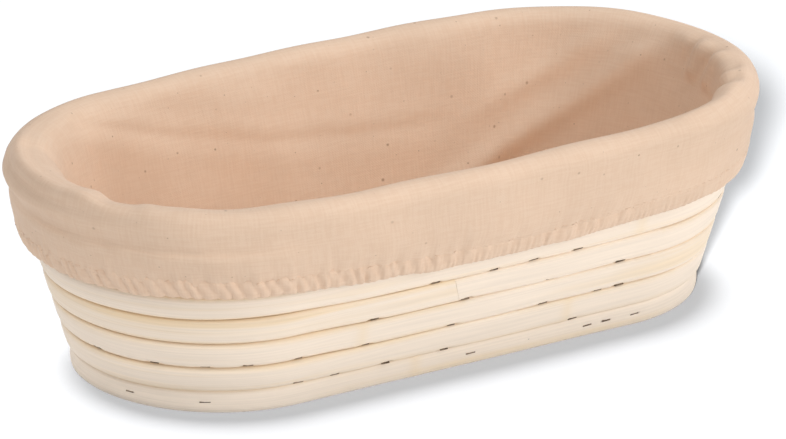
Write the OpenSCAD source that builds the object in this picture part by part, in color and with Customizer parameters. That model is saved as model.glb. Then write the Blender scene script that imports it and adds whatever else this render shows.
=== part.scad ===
// Oval proofing basket coiled from round cane, with a cloth liner turned down over the rim.
// All sizes are in millimetres and all angles in degrees. The basket stands on z = 0.

/* [Basket] */
// Length of the bare basket over the cane at the rim
rim_length = 273; // [250:1:310]
// Width of the bare basket over the cane at the rim
rim_width = 141; // [130:1:165]
// Height of the bare basket to the top of the rim cane
basket_height = 75; // [60:0.5:100]
// Lean of the wall out of the upright
wall_lean = 16.5; // [10:0.5:25]
// Swell of the long sides at the rim, against straight sides
side_swell = 3.5; // [1:0.1:4]

/* [Cane] */
// Diameter of the peeled cane
cane_d = 9.4; // [8:0.1:11]
// Least gap between neighbouring turns
turn_gap = 0.5; // [0.45:0.05:0.8]
// Depth of the flat on the underside of the base
foot_flat = 0.94; // [0.3:0.02:1.2]
// Gap between two lengths of cane where they butt
splice_gap = 0.5; // [0.45:0.05:1]
// Where the lower length of wall cane starts, as a share of the wall's turns
lower_joint = 0.27; // [0.2:0.01:0.35]
// Where the upper length of wall cane starts
upper_joint = 0.451; // [0.4:0.001:0.55]
// Where the length of rim cane starts
rim_joint = 0.73; // [0.65:0.01:0.8]

/* [Staples] */
// Width of a staple over its legs
staple_w = 6; // [4:0.5:8]
// Side of the staple's square wire
staple_wire = 1; // [0.6:0.1:1.2]
// Length of the legs that tie one course to the course below
wall_leg = 9; // [7:0.5:11]
// Length of the legs that tie the lowest course to the base
foot_leg = 13; // [11:0.5:15]
// Distance between the staples of one course
staple_spacing = 28; // [22:1:45]

/* [Liner] */
// Thickness of the cloth
cloth_t = 0.9; // [0.5:0.1:1.5]
// Gap between the cloth and the cane
cloth_clear = 0.35; // [0.3:0.05:0.6]
// Depth of the cuff from the top of the rim to its lower edge
cuff_drop = 33; // [26:1:40]
// How far the cuff stands off the wall at its fullest
cuff_fullness = 2.6; // [1:0.1:4]
// Height of the folded hem
hem_h = 5.4; // [4.5:0.1:7]
// Number of gathers round the hem
hem_gathers = 36; // [24:12:48]
// Height of the gathers
gather_depth = 0.7; // [0.3:0.1:1.2]
// Width of the elastic
elastic_w = 3.4; // [2.5:0.1:4]
// Thickness of the elastic
elastic_t = 1; // [0.8:0.1:1.6]

/* [Hidden] */
cane_colour = "#e6d3b3";
staple_colour = "#8d8a84";
cloth_colour = "#dcc3a8";
elastic_colour = "#f2efe8";

cane_r = cane_d / 2;
cane_z = cane_r - foot_flat;
half_straight = (rim_length - rim_width) / 2;

// The wall's turns share its slope evenly, and the base's turns share its half width.
wall_slope = (basket_height - cane_r - cane_z) / cos(wall_lean);
wall_turns = floor(wall_slope / (cane_d + turn_gap));
wall_pitch = wall_slope / wall_turns;
foot_r = rim_width / 2 - cane_r - wall_slope * sin(wall_lean);
base_turns = floor(foot_r / (cane_d + turn_gap) - 0.5);
base_pitch = foot_r / (base_turns + 0.5);

// One turn runs along the back, round the left end, along the front and round the right end,
// a quarter each. The cane steps up to its next course along the back and is level elsewhere.
quarter = 0.25;
side_steps = 3;
end_steps = 12;
hem_steps = 2 * hem_gathers;

// The first and last turns begin and end as a wedge, one step along the back.
first_t = -base_turns + quarter / side_steps;
last_t = wall_turns + 1 + quarter / side_steps;
base_end_t = 0.31;
lower_t = lower_joint * (wall_turns + 1);
upper_t = upper_joint * (wall_turns + 1);
rim_t = rim_joint * (wall_turns + 1);

// The cane's section has flat sides that face the neighbouring turns.
cane_sides = 8;
cane_corner_r = cane_r / cos(180 / cane_sides);
corner_room = 2 * (cane_corner_r - cane_r);
straight_enough = 0.01;

// Staples go in below the middle of a course's face, slanting down into the course below it.
// Their crowns stand half proud, and the cuff clears them.
crown_proud = staple_wire / 2;
wall_crown_angle = 18;
wall_drive_angle = 42;
base_crown_angle = 52;
base_drive_angle = 60;
base_leg = 8.5;
staple_unevenness = 0.22;
staple_reach = 0.002;
tightest_stapled_bend = 3 * base_pitch;

rim_round_steps = 6;
drop_steps = 4;
cuff_clear = cloth_clear + crown_proud;
elastic_play = 0.15;

// Distances of the hem's layers out of the line of cane centres
hem_back_d = cane_r + cuff_clear;
pocket_back_d = hem_back_d + cloth_t;
pocket_front_d = pocket_back_d + elastic_t + 2 * elastic_play;
hem_front_d = pocket_front_d + cloth_t;

rim_top = basket_height + cloth_clear + cloth_t;
hem_bottom_z = rim_top - cuff_drop;
hem_top_z = hem_bottom_z + hem_h;
band_top_z = cane_z + wall_slope * cos(wall_lean) + (cane_r + cloth_clear) * sin(wall_lean);
floor_z = cane_z + cane_r + cloth_clear;
band_foot_z = floor_z + cloth_t;
band_back_d = -cane_r - cloth_clear;
band_face_d = band_back_d - cloth_t;

// Steps of one turn, with the ends divided more finely than the sides
function turn_steps(side, end) = concat(
    [for (i = [0:side - 1]) quarter * i / side],
    [for (i = [0:end - 1]) quarter * (1 + i / end)],
    [for (i = [0:side - 1]) quarter * (2 + i / side)],
    [for (i = [0:end - 1]) quarter * (3 + i / end)]);

steps = turn_steps(side_steps, end_steps);
fine_steps = turn_steps(hem_steps / 8, hem_steps * 3 / 8);

function part_of_turn(t) = t - floor(t);
function ease(f) = f * f * (3 - 2 * f);

// Share of the step up to this turn's course that is done at t
function climb(t) = part_of_turn(t) < quarter ? ease(part_of_turn(t) / quarter) : 1;

// Slope distance of the first step up the wall, kept one pitch away from the turn below it,
// and a little more on the way, where corners of the section face each other
function first_step(f) =
    let (back = (1 - f) * base_pitch,
         reach = base_pitch + (wall_pitch - base_pitch) * f + corner_room * sin(180 * f))
    sqrt(pow(back * sin(wall_lean), 2) + reach * reach - back * back) - back * sin(wall_lean);

// Distance of the cane's centre from the foot at t: inwards over the base below 0, up the wall above 0
function plain_distance(t) =
    let (course = floor(t), f = climb(t))
    course <= 0 ? (course - 1 + f) * base_pitch : first_step(f) + (course - 1) * wall_pitch;

function in_first_wedge(t) = t < -base_turns + quarter;
function in_last_wedge(t) = t > wall_turns + 1;
function last_wedge_height(t) = wall_slope - plain_distance(t - 1) - (wall_pitch - cane_d);

// Share of the cane's full thickness at t
function thickness(t) =
    in_first_wedge(t) ? (cane_d - (1 - climb(t)) * base_pitch) / cane_d :
    in_last_wedge(t) ? last_wedge_height(t) / cane_d : 1;

function distance(t) =
    in_first_wedge(t) ? climb(t) * base_pitch / 2 - foot_r :
    in_last_wedge(t) ? wall_slope + cane_r - last_wedge_height(t) / 2 : plain_distance(t);

// Lean of the wall at a distance from the foot
function lean_at(s) = wall_lean * min(1, max(0, s / wall_pitch));

// Plan outline of four arcs at an offset from the foot: [x, y, normal angle] at a part of the turn
function outline(u, offset, s) =
    let (b = foot_r + offset,
         swell = max(straight_enough, side_swell * min(1, s / wall_slope)),
         end_r = b - swell,
         end_x = half_straight + swell,
         side_r = (end_x * end_x + b * b - end_r * end_r) / (2 * swell),
         side_y = side_r - b,
         corner = atan2(side_y, end_x),
         leg = min(3, floor(u / quarter)),
         f = u / quarter - leg,
         a = leg == 0 ? corner + f * (180 - 2 * corner) :
             leg == 1 ? 180 - corner + f * 2 * corner :
             leg == 2 ? 180 + corner + f * (180 - 2 * corner) : -corner + f * 2 * corner)
    leg == 0 ? [side_r * cos(a), side_r * sin(a) - side_y, a] :
    leg == 1 ? [end_r * cos(a) - end_x, end_r * sin(a), a] :
    leg == 2 ? [side_r * cos(a), side_r * sin(a) + side_y, a] :
               [end_r * cos(a) + end_x, end_r * sin(a), a];

// Point that lies `out` outwards and z up, at a part of the turn
function place(u, out, z) =
    let (p = outline(u, out, (z - cane_z) / cos(wall_lean)))
    [p[0], p[1], z];

// [outwards, z] of a point s up the wall and d out of the line of cane centres
function wall_point(s, d) =
    [s * sin(wall_lean) + d * cos(wall_lean), cane_z + s * cos(wall_lean) - d * sin(wall_lean)];

function wall_point_at(z, d) = wall_point((z - cane_z + d * sin(wall_lean)) / cos(wall_lean), d);

// [outwards, z] of the cane's centre at t
function centre(t) =
    let (s = distance(t))
    s <= 0 ? [s, cane_z] : wall_point(s, 0);

// [x, y, z, normal angle] of the cane's centre at t
function path(t) =
    let (c = centre(t), p = outline(part_of_turn(t), c[0], distance(t)))
    [p[0], p[1], c[1], p[2]];

function xyz(p) = [p[0], p[1], p[2]];

// Section of the cane at t: flat sides face the neighbouring turns, and the underside stops at z = 0.
// The first wedge is thin across, and the last is what a cut leaves of the top of a round section.
function cane_ring(t) =
    let (p = path(t), lean = lean_at(distance(t)), q = thickness(t),
         width = distance(t) < 0 ? q : sqrt(q * (2 - q)),
         height = distance(t) < 0 ? 1 : q)
    [for (i = [0:cane_sides - 1])
        let (a = 360 * (i + 0.5) / cane_sides,
             d = cane_corner_r * cos(a) * width,
             h = cane_corner_r * sin(a) * height,
             out = d * cos(lean) + h * sin(lean),
             up = h * cos(lean) - d * sin(lean))
        [p[0] + out * cos(p[3]), p[1] + out * sin(p[3]), max(0, p[2] + up)]];

// Turn values of the rings from one end of a length of cane to the other
function ring_ts(from, to) = concat([from],
    [for (n = [floor(from):floor(to)], u = steps) if (n + u > from + 0.002 && n + u < to - 0.002) n + u],
    [to]);

// Shortest way between turn t and the turn after it, less the cane's thickness
function gap_after(t) = min([for (d = [-0.02:0.004:0.02]) norm(xyz(path(t + 1 + d)) - xyz(path(t))) - cane_d]);

least_gap = min([for (t = [-base_turns + quarter:1 / 48:wall_turns]) gap_after(t)]);
echo(str("wall turns ", wall_turns, ", base turns ", base_turns));
echo(str("least gap between turns of cane: ", least_gap, " mm"));

// Point of the faceted cane's centre line at t, between the rings on either side of it
function rail(t) =
    let (n = floor(t),
         before = max([for (u = steps) if (n + u <= t) n + u]),
         after = min([for (u = concat(steps, [1])) if (n + u > t) n + u]),
         f = (t - before) / (after - before),
         a = path(before),
         b = path(min(after, n + 0.9999)))
    xyz(a) + f * (xyz(b) - xyz(a));

// Number of staples round the turn that holds t
function staple_count(t) =
    round((2 * PI * (foot_r + centre(t)[0]) + 4 * half_straight) / staple_spacing);

// Whether a staple fits at t: in full cane, clear of the first step up the wall, and not in a tight bend
function takes_staple(t) =
    let (along_side = floor(part_of_turn(t) / quarter) % 2 == 0,
         in_first_step = t >= 1 && t < 1 + quarter,
         bend_r = foot_r + centre(t)[0])
    thickness(t) == 1 && !in_first_step && (along_side || bend_r > tightest_stapled_bend);

// Turn values of the staples between two turn values, a little uneven
function staple_ts(from, to) =
    [for (n = [floor(from):floor(to)])
        let (count = staple_count(n + 0.5))
        for (i = [0:count - 1])
            let (t = n + (i + 0.5 + staple_unevenness * sin(137 * i + 71 * n)) / count)
            if (t > from && t < to && takes_staple(t)) t];

// Half of the splice gap, in turns, where a joint lies on a turn of the wall
function half_gap_turns(t) =
    splice_gap / 2 / (norm(xyz(path(t + 0.01)) - xyz(path(t - 0.01))) / 0.02);

function cane_start(t) = t + half_gap_turns(t);
function cane_end(t) = t - half_gap_turns(t);

// Solid through closed loops of points: the loops run round a ring or are capped at both ends
module skin(loops, closed = false) {
    n = len(loops[0]);
    m = len(loops);
    spans = closed ? m : m - 1;
    sides = [for (j = [0:spans - 1], i = [0:n - 1])
        let (a = j * n + i, b = j * n + (i + 1) % n, c = (j + 1) % m * n + (i + 1) % n, d = (j + 1) % m * n + i)
        each [[a, b, c], [a, c, d]]];
    caps = closed ? [] : concat(
        [for (i = [1:n - 2]) [0, i + 1, i]],
        [for (i = [1:n - 2]) [(m - 1) * n, (m - 1) * n + i, (m - 1) * n + i + 1]]);
    polyhedron([for (loop = loops) each loop], concat(sides, caps));
}

// Length of cane from one turn value to another
module cane(from, to) {
    color(cane_colour) skin([for (t = ring_ts(from, to)) cane_ring(t)]);
}

// Ring of cloth with a section of [outwards, z] points
module cloth_ring(section) {
    color(cloth_colour) skin([for (u = steps) [for (p = section) place(u, p[0], p[1])]], closed = true);
}

// Staple with its crown along y, driven along -x
module staple(leg) {
    linear_extrude(staple_wire, center = true)
        difference() {
            translate([-leg, -staple_w / 2]) square([leg + crown_proud, staple_w]);
            translate([-leg - staple_wire, staple_wire - staple_w / 2])
                square([leg + crown_proud, staple_w - 2 * staple_wire]);
        }
}

// Staple in the cane at t: its crown is `crown` degrees and its legs are `drive` degrees
// from the basket's outer face
module driven_staple(t, leg, crown, drive) {
    way = rail(t + staple_reach) - rail(t - staple_reach);
    climb_angle = atan2(way[2], norm([way[0], way[1]]));
    face = distance(t) < 0 ? 90 : lean_at(distance(t));
    translate(rail(t))
        rotate([climb_angle, 0, atan2(way[1], way[0]) - 90])
            rotate([0, face + crown, 0])
                translate([cane_r, 0, 0])
                    rotate([0, -crown - drive, 0])
                        staple(leg);
}

// Staples of the turns between two turn values
module staples(from, to) {
    color(staple_colour)
        for (t = staple_ts(from, to))
            if (distance(t) < 0) driven_staple(t, base_leg, base_crown_angle, base_drive_angle);
            else if (t < 1) driven_staple(t, foot_leg, 0, 0);
            else driven_staple(t, wall_leg, wall_crown_angle, wall_drive_angle);
}

// Section of the side band, as [outwards, z] points
function band_section() = concat(
    [for (z = [band_foot_z, (band_foot_z + band_top_z) / 2, band_top_z]) wall_point_at(z, band_back_d)],
    [for (z = [band_top_z, (band_foot_z + band_top_z) / 2, band_foot_z]) wall_point_at(z, band_face_d)]);

// One face of the cuff: `layer` is its distance from the face against the cane
function cuff_face(layer) =
    let (rim = wall_point(wall_slope, 0), start_d = (cane_corner_r + cuff_clear) * cos(wall_lean))
    concat(
        [wall_point_at(band_top_z, band_back_d - layer)],
        [for (i = [1:rim_round_steps])
            let (f = i / rim_round_steps,
                 a = (180 - wall_lean) * (1 - f),
                 r = cane_corner_r + cloth_clear + f * crown_proud + layer)
            rim + r * [cos(a), sin(a)]],
        [for (i = [1:drop_steps])
            let (f = i / drop_steps,
                 d = start_d + f * (pocket_front_d - start_d) + cuff_fullness * sin(180 * pow(f, 1.3)))
            wall_point_at(rim[1] + f * (hem_top_z - rim[1]), d + layer)]);

function reversed(list) = [for (i = [len(list) - 1:-1:0]) list[i]];

function cuff_section() = concat(cuff_face(0), reversed(cuff_face(cloth_t)));

// Section of the hem, a fold of cloth that is open at the top; its front swells by `swell`
function hem_section(swell) = [
    wall_point_at(hem_top_z, pocket_front_d),
    wall_point_at(hem_bottom_z + cloth_t, pocket_front_d),
    wall_point_at(hem_bottom_z + cloth_t, pocket_back_d),
    wall_point_at(hem_top_z, pocket_back_d),
    wall_point_at(hem_top_z, hem_back_d),
    wall_point_at(hem_bottom_z + cloth_t, hem_back_d),
    wall_point_at(hem_bottom_z, pocket_back_d),
    wall_point_at(hem_bottom_z, pocket_front_d),
    wall_point_at(hem_bottom_z + cloth_t, hem_front_d + swell),
    wall_point_at(hem_top_z - cloth_t, hem_front_d + swell),
    wall_point_at(hem_top_z, hem_front_d)];

function elastic_section() =
    let (low = hem_bottom_z + cloth_t + elastic_play,
         back = pocket_back_d + elastic_play,
         front = pocket_front_d - elastic_play)
    [wall_point_at(low, front), wall_point_at(low + elastic_w, front),
     wall_point_at(low + elastic_w, back), wall_point_at(low, back)];

module base_cane() {
    cane(first_t, cane_end(base_end_t));
}

module foot_cane() {
    cane(cane_start(base_end_t), cane_end(lower_t));
}

module lower_wall_cane() {
    cane(cane_start(lower_t), cane_end(upper_t));
}

module upper_wall_cane() {
    cane(cane_start(upper_t), cane_end(rim_t));
}

module rim_cane() {
    cane(cane_start(rim_t), last_t);
}

module base_staples() {
    staples(first_t + 1, base_end_t);
}

module foot_staples() {
    staples(base_end_t, lower_t);
}

module lower_wall_staples() {
    staples(lower_t, upper_t);
}

module upper_wall_staples() {
    staples(upper_t, rim_t);
}

module rim_staples() {
    staples(rim_t, last_t);
}

module liner_base_panel() {
    color(cloth_colour)
        translate([0, 0, floor_z])
            linear_extrude(cloth_t)
                polygon([for (u = steps)
                    let (p = place(u, wall_point_at(floor_z, band_back_d)[0], floor_z))
                    [p[0], p[1]]]);
}

module liner_side_band() {
    cloth_ring(band_section());
}

module liner_cuff() {
    cloth_ring(cuff_section());
}

module hem_casing() {
    color(cloth_colour)
        skin([for (i = [0:len(fine_steps) - 1])
            [for (p = hem_section(i % 2 * gather_depth)) place(fine_steps[i], p[0], p[1])]], closed = true);
}

module hem_elastic() {
    color(elastic_colour)
        skin([for (u = fine_steps) [for (p = elastic_section()) place(u, p[0], p[1])]], closed = true);
}

base_cane();
foot_cane();
lower_wall_cane();
upper_wall_cane();
rim_cane();
base_staples();
foot_staples();
lower_wall_staples();
upper_wall_staples();
rim_staples();
liner_base_panel();
liner_side_band();
liner_cuff();
hem_casing();
hem_elastic();
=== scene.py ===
"""Looks of an oval proofing basket: cane coiled and tied with wire staples, and a cotton liner
that is turned down over the rim and drawn in by its gathered hem.

Shapes are worked out in millimetres and written to their meshes in metres. A place round the basket
is a share of one turn: along the back from right to left, round the left end, along the front and
round the right end, a quarter each. The cane's own turns are counted from 0 at the foot of the wall.
"""

import logging
import math
from collections.abc import Callable, Sequence
from dataclasses import dataclass, field
from enum import Enum
from functools import cache

import bpy
import numpy as np
from mathutils import Matrix, Vector

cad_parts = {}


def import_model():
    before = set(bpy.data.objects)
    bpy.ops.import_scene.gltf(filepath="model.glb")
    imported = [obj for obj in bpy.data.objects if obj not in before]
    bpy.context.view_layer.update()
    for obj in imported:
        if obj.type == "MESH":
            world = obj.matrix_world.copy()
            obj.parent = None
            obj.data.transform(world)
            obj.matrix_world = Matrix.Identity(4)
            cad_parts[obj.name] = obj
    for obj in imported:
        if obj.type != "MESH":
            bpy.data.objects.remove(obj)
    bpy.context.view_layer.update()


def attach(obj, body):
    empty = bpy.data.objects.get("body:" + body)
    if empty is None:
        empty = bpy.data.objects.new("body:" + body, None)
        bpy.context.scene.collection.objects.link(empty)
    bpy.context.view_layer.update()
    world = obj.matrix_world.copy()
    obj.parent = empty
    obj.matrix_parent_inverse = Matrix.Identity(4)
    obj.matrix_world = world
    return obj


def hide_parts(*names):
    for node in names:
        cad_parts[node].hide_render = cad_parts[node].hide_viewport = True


LOG = logging.getLogger("proofing_basket")

Array = np.ndarray
Colour = tuple[float, float, float]
Piece = bpy.types.Object
Material = bpy.types.Material
Socket = bpy.types.NodeSocket

MM = 0.001
QUARTER = 0.25
TAU = 2.0 * math.pi
# Points that are closer than this, in metres, are joined
MERGE_DISTANCE = 1e-6


class Body(Enum):
    """The two bodies that pieces ride on."""

    BASKET = "basket"
    LINER = "liner"


class Slot(Enum):
    """Names for the finishes of the cane, the staples and the liner."""

    CANE = "cane"
    WIRE = "staple_wire"
    CLOTH = "liner_cloth"


class Mark(Enum):
    """Marks on the cane that its finish reads, each from 0 to 1."""

    CREVICE = "crevice"
    KNUCKLE = "knuckle"
    SLOT = "slot"
    # Share of painted shade in the seams between turns
    OPEN = "open"
    SKIN = "skin"


def ease(share: Array | float) -> Array:
    """Goes from 0 to 1 along an S-shaped curve."""
    f = np.clip(share, 0.0, 1.0)
    return f * f * (3.0 - 2.0 * f)


def ramp(low: float, high: float, x: Array) -> Array:
    """Eases from 0 at low to 1 at high."""
    return ease((x - low) / (high - low))


def hump(x: Array, width: Array | float) -> Array:
    """Rises to 1 at 0 and falls off to either side over a width."""
    return np.exp(-((x / width) ** 2))


def apart(turn: Array, place: float) -> Array:
    """Signed share of a turn from a place, the shorter way round."""
    return (turn - place + 0.5) % 1.0 - 0.5


def near(turn: Array, place: float, width: float) -> Array:
    """Is 1 at a place round the basket and falls off to either side over a share of a turn."""
    return hump(apart(turn, place), width)


@dataclass(frozen=True)
class Stretch:
    """A stretch that fades in before its low end and out after its high end."""

    low: float
    high: float
    fade: float
    fade_out: float | None = None

    def __call__(self, x: Array) -> Array:
        """Is 1 between low and high, and 0 beyond the fades."""
        out = self.fade if self.fade_out is None else self.fade_out
        return ramp(self.low - self.fade, self.low, x) * (1.0 - ramp(self.high, self.high + out, x))


@dataclass(frozen=True)
class Ridge:
    """A rounded ridge across a surface, or a valley where its height is below 0."""

    at: float
    width: float
    height: float

    def __call__(self, x: Array) -> Array:
        """Height at x."""
        return self.height * hump(x - self.at, self.width)


@dataclass(frozen=True)
class Waves:
    """Soft random waves that close round a ring: usual count round it, and greatest count across."""

    height: float
    cycles: float
    rows: float
    seed: int
    waves: int = 14
    # Least and greatest share of the usual count that a wave has
    spread: tuple[float, float] = (0.5, 1.5)

    def __call__(self, ring: Array, across: Array | float = 0.0) -> Array:
        """Adds the waves up.

        Args:
            ring: share of the way round, 0 to 1.
            across: share of the way across, 0 to 1.

        Returns:
            The height, mostly within the waves' own height to either side of 0.
        """
        rng = np.random.default_rng(self.seed)
        total = np.zeros_like(ring)
        for _ in range(self.waves):
            round_count = max(1, round(self.cycles * rng.uniform(*self.spread)))
            across_count = self.rows * rng.uniform(-1.0, 1.0)
            total += np.sin(TAU * (round_count * ring + across_count * across + rng.uniform()))
        return self.height * total / math.sqrt(self.waves)


@dataclass(frozen=True)
class Wander:
    """A slow random change along a length of cane."""

    height: float
    wavelength: float
    seed: int
    waves: int = 6
    # Least and greatest share of the usual wavelength that a wave has
    spread: tuple[float, float] = (0.6, 1.7)

    def __call__(self, length: Array, cane_seed: int) -> Array:
        """Adds the waves up.

        Args:
            length: distances along the cane.
            cane_seed: the length of cane's own choice of waves.

        Returns:
            The change, mostly within its height to either side of 0.
        """
        rng = np.random.default_rng(cane_seed + self.seed)
        parts = [(self.wavelength * rng.uniform(*self.spread), rng.uniform()) for _ in range(self.waves)]
        total = sum(np.sin(TAU * (length / wavelength + shift)) for wavelength, shift in parts)
        return self.height * total / math.sqrt(self.waves)


def rounded_square(angle: Array, squareness: Array | float) -> tuple[Array, Array]:
    """Points of a shape between a circle, at a squareness of 2, and a square, from -1 to 1."""
    power = 2.0 / squareness
    across, up = np.cos(angle), np.sin(angle)
    return np.sign(across) * np.abs(across) ** power, np.sign(up) * np.abs(up) ** power


def even_angle(share: Array, squareness: float) -> Array:
    """Finds angles that space points evenly round a rounded square.

    Args:
        share: shares of the way round.
        squareness: as for rounded_square.

    Returns:
        The angles.
    """
    fine = np.linspace(-math.pi, math.pi, 4001)
    across, up = rounded_square(fine, squareness)
    lengths = np.concatenate([[0.0], np.cumsum(np.hypot(np.diff(across), np.diff(up)))])
    return np.interp(share % 1.0 * lengths[-1], lengths, fine)


def unit(vectors: Array) -> Array:
    """Scales vectors to a length of 1."""
    return vectors / np.linalg.norm(vectors, axis=-1, keepdims=True)


def deselect_all() -> None:
    """Leaves nothing selected."""
    bpy.ops.object.select_all(action="DESELECT")


def make_active(piece: Piece) -> None:
    """Selects one piece alone, for the operators that follow."""
    deselect_all()
    piece.select_set(True)
    bpy.context.view_layer.objects.active = piece


def name_piece(piece: Piece, name: str) -> Piece:
    """Gives a piece and its mesh the same name."""
    piece.name = name
    piece.data.name = name
    return piece


def select_faces(piece: Piece, wanted: Callable[[bpy.types.MeshPolygon], bool]) -> None:
    """Selects faces of an edited piece, and stays in edit mode.

    Args:
        piece: the piece.
        wanted: a test that picks the faces.
    """
    bpy.ops.object.mode_set(mode="OBJECT")
    for part in (piece.data.vertices, piece.data.edges):
        part.foreach_set("select", np.zeros(len(part), bool))
    piece.data.polygons.foreach_set("select", [wanted(face) for face in piece.data.polygons])
    bpy.ops.object.mode_set(mode="EDIT")
    bpy.ops.mesh.select_mode(type="FACE")


@dataclass
class Shaped:
    """Points of a shaped grid and the map of its surface, in millimetres, and marks on the points."""

    points: Array
    surface_map: Array
    marks: dict[Mark, Array] = field(default_factory=dict)


def shaped_grid(
    name: str,
    along: int,
    across: int,
    shape: Callable[[Array, Array], Shaped],
    closed: bool = False,
) -> Piece:
    """Adds a flat grid, shapes it, and joins its edges where they meet.

    Args:
        name: name of the piece.
        along: number of steps in the first direction.
        across: number of steps in the second direction.
        shape: shapes points that are given as shares of the way along and across.
        closed: whether it is a closed form, whose open ends are filled and whose faces point outwards.

    Returns:
        The shaped piece, at the origin.
    """
    deselect_all()
    bpy.ops.mesh.primitive_grid_add(x_subdivisions=along, y_subdivisions=across, size=1.0)
    piece = name_piece(bpy.context.object, name)
    mesh = piece.data
    flat = np.empty(len(mesh.vertices) * 3)
    mesh.vertices.foreach_get("co", flat)
    shares = np.round((flat.reshape(-1, 3)[:, :2] + 0.5) * (along, across)) / (along, across)

    shaped = shape(shares[:, 0], shares[:, 1])
    mesh.vertices.foreach_set("co", (shaped.points * MM).ravel())
    corners = np.empty(len(mesh.loops), int)
    mesh.loops.foreach_get("vertex_index", corners)
    mesh.uv_layers.active.data.foreach_set("uv", (shaped.surface_map[corners] * MM).ravel())
    for mark, values in shaped.marks.items():
        mesh.attributes.new(mark.value, "FLOAT", "POINT").data.foreach_set("value", values)
    mesh.update()

    bpy.ops.object.mode_set(mode="EDIT")
    bpy.ops.mesh.select_all(action="SELECT")
    bpy.ops.mesh.remove_doubles(threshold=MERGE_DISTANCE)
    if closed:
        bpy.ops.mesh.fill_holes(sides=0)
        bpy.ops.mesh.select_all(action="SELECT")
        bpy.ops.mesh.normals_make_consistent(inside=False)
    bpy.ops.object.mode_set(mode="OBJECT")
    return piece


def smooth(piece: Piece, crease: float) -> None:
    """Shades a piece smooth, with edges kept that are sharper than crease degrees."""
    make_active(piece)
    bpy.ops.object.shade_smooth_by_angle(angle=math.radians(crease))


def thicken(piece: Piece, thickness: float) -> None:
    """Gives a sheet its thickness, half to either side.

    Args:
        piece: the sheet.
        thickness: its thickness in millimetres.
    """
    make_active(piece)
    wall = piece.modifiers.new("cloth thickness", "SOLIDIFY")
    wall.thickness = thickness * MM
    wall.offset = 0.0
    bpy.ops.object.modifier_apply(modifier=wall.name)


def copies(template: Piece, places: Sequence[Matrix], name: str) -> Piece:
    """Copies a small piece to many places and joins the copies into one piece.

    Args:
        template: the modelled piece, in metres about the origin.
        places: where each copy goes.
        name: name of the joined piece.

    Returns:
        The joined piece.
    """
    made = []
    for place in places:
        copy = template.copy()
        copy.data = template.data.copy()
        copy.data.transform(place)
        bpy.context.scene.collection.objects.link(copy)
        made.append(copy)
    make_active(made[0])
    for copy in made:
        copy.select_set(True)
    bpy.ops.object.join()
    return name_piece(bpy.context.object, name)


def frame_matrix(origin: Array, x_axis: Array, y_axis: Array) -> Matrix:
    """Makes a place for a copy.

    Args:
        origin: where its origin goes, in millimetres.
        x_axis: where its x axis points.
        y_axis: where its y axis points, at right angles to x_axis.

    Returns:
        The place, in metres.
    """
    place = Matrix.Identity(4)
    for column, vector in enumerate((x_axis, y_axis, np.cross(x_axis, y_axis), origin * MM)):
        for row in range(3):
            place[row][column] = vector[row]
    return place


class NodeBench:
    """Adds nodes to a material, a group or the world, and joins them up."""

    def __init__(self, tree: bpy.types.NodeTree) -> None:
        """Starts on an empty tree."""
        self.tree = tree
        tree.nodes.clear()

    def add(self, kind: str, settings: dict | None = None, **inputs: object) -> bpy.types.Node:
        """Adds a node.

        Args:
            kind: the node's type, without its ShaderNode prefix where it has one.
            settings: values of the node's own properties.
            inputs: a value or a socket for each named input, with _ for a space.

        Returns:
            The node.
        """
        node = self.tree.nodes.new(kind if kind.startswith("Node") else "ShaderNode" + kind)
        for key, value in (settings or {}).items():
            setattr(node, key, value)
        for key, value in inputs.items():
            self.put(node, key.replace("_", " "), value)
        return node

    def put(self, node: bpy.types.Node, name: str | int, value: object) -> None:
        """Sets an input of a node, or joins a socket to it.

        Args:
            node: the node.
            name: name or number of the input.
            value: a number, a colour or a socket.
        """
        socket = node.inputs[name]
        if isinstance(value, Socket):
            self.tree.links.new(value, socket)
        elif socket.type == "RGBA":
            socket.default_value = (*value, 1.0)
        else:
            socket.default_value = value

    def math(self, operation: str, *values: object) -> Socket:
        """Adds a Math node.

        Args:
            operation: the node's operation.
            values: numbers or sockets for its inputs.

        Returns:
            Its result.
        """
        node = self.add("Math", {"operation": operation})
        for index, value in enumerate(values):
            self.put(node, index, value)
        return node.outputs[0]

    def product(self, first: object, *others: object) -> Socket:
        """Multiplies values, and returns the product."""
        for other in others:
            first = self.math("MULTIPLY", first, other)
        return first

    def least_to_one(self, share: object, least: float) -> Socket:
        """Goes from a least value to 1 as share goes from 0 to 1."""
        return self.math("MULTIPLY_ADD", share, 1.0 - least, least)

    def span(self, value: object, limits: tuple[float, float]) -> Socket:
        """Maps the first limit to 0 and the second to 1, smoothly and within those limits."""
        eased = {"interpolation_type": "SMOOTHSTEP"}
        node = self.add("MapRange", eased, Value=value, From_Min=limits[0], From_Max=limits[1])
        return node.outputs["Result"]

    def mix(self, share: object, first: object, second: object, blend: str = "MIX") -> Socket:
        """Mixes two colours.

        Args:
            share: share of the second colour.
            first: the first colour.
            second: the second colour.
            blend: how the second colour acts on the first.

        Returns:
            The mixed colour.
        """
        node = self.add("Mix", {"data_type": "RGBA", "blend_type": blend}, Factor=share)
        first_colour, second_colour = 6, 7
        self.put(node, first_colour, first)
        self.put(node, second_colour, second)
        return node.outputs[2]

    def shade(self, colour: object, limits: tuple[float, float], share: object) -> Socket:
        """Multiplies a colour by the first to the second limit, as share goes from 0 to 1."""
        factor = self.add("MapRange", Value=share, To_Min=limits[0], To_Max=limits[1])
        return self.mix(1.0, colour, factor.outputs["Result"], "MULTIPLY")


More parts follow.
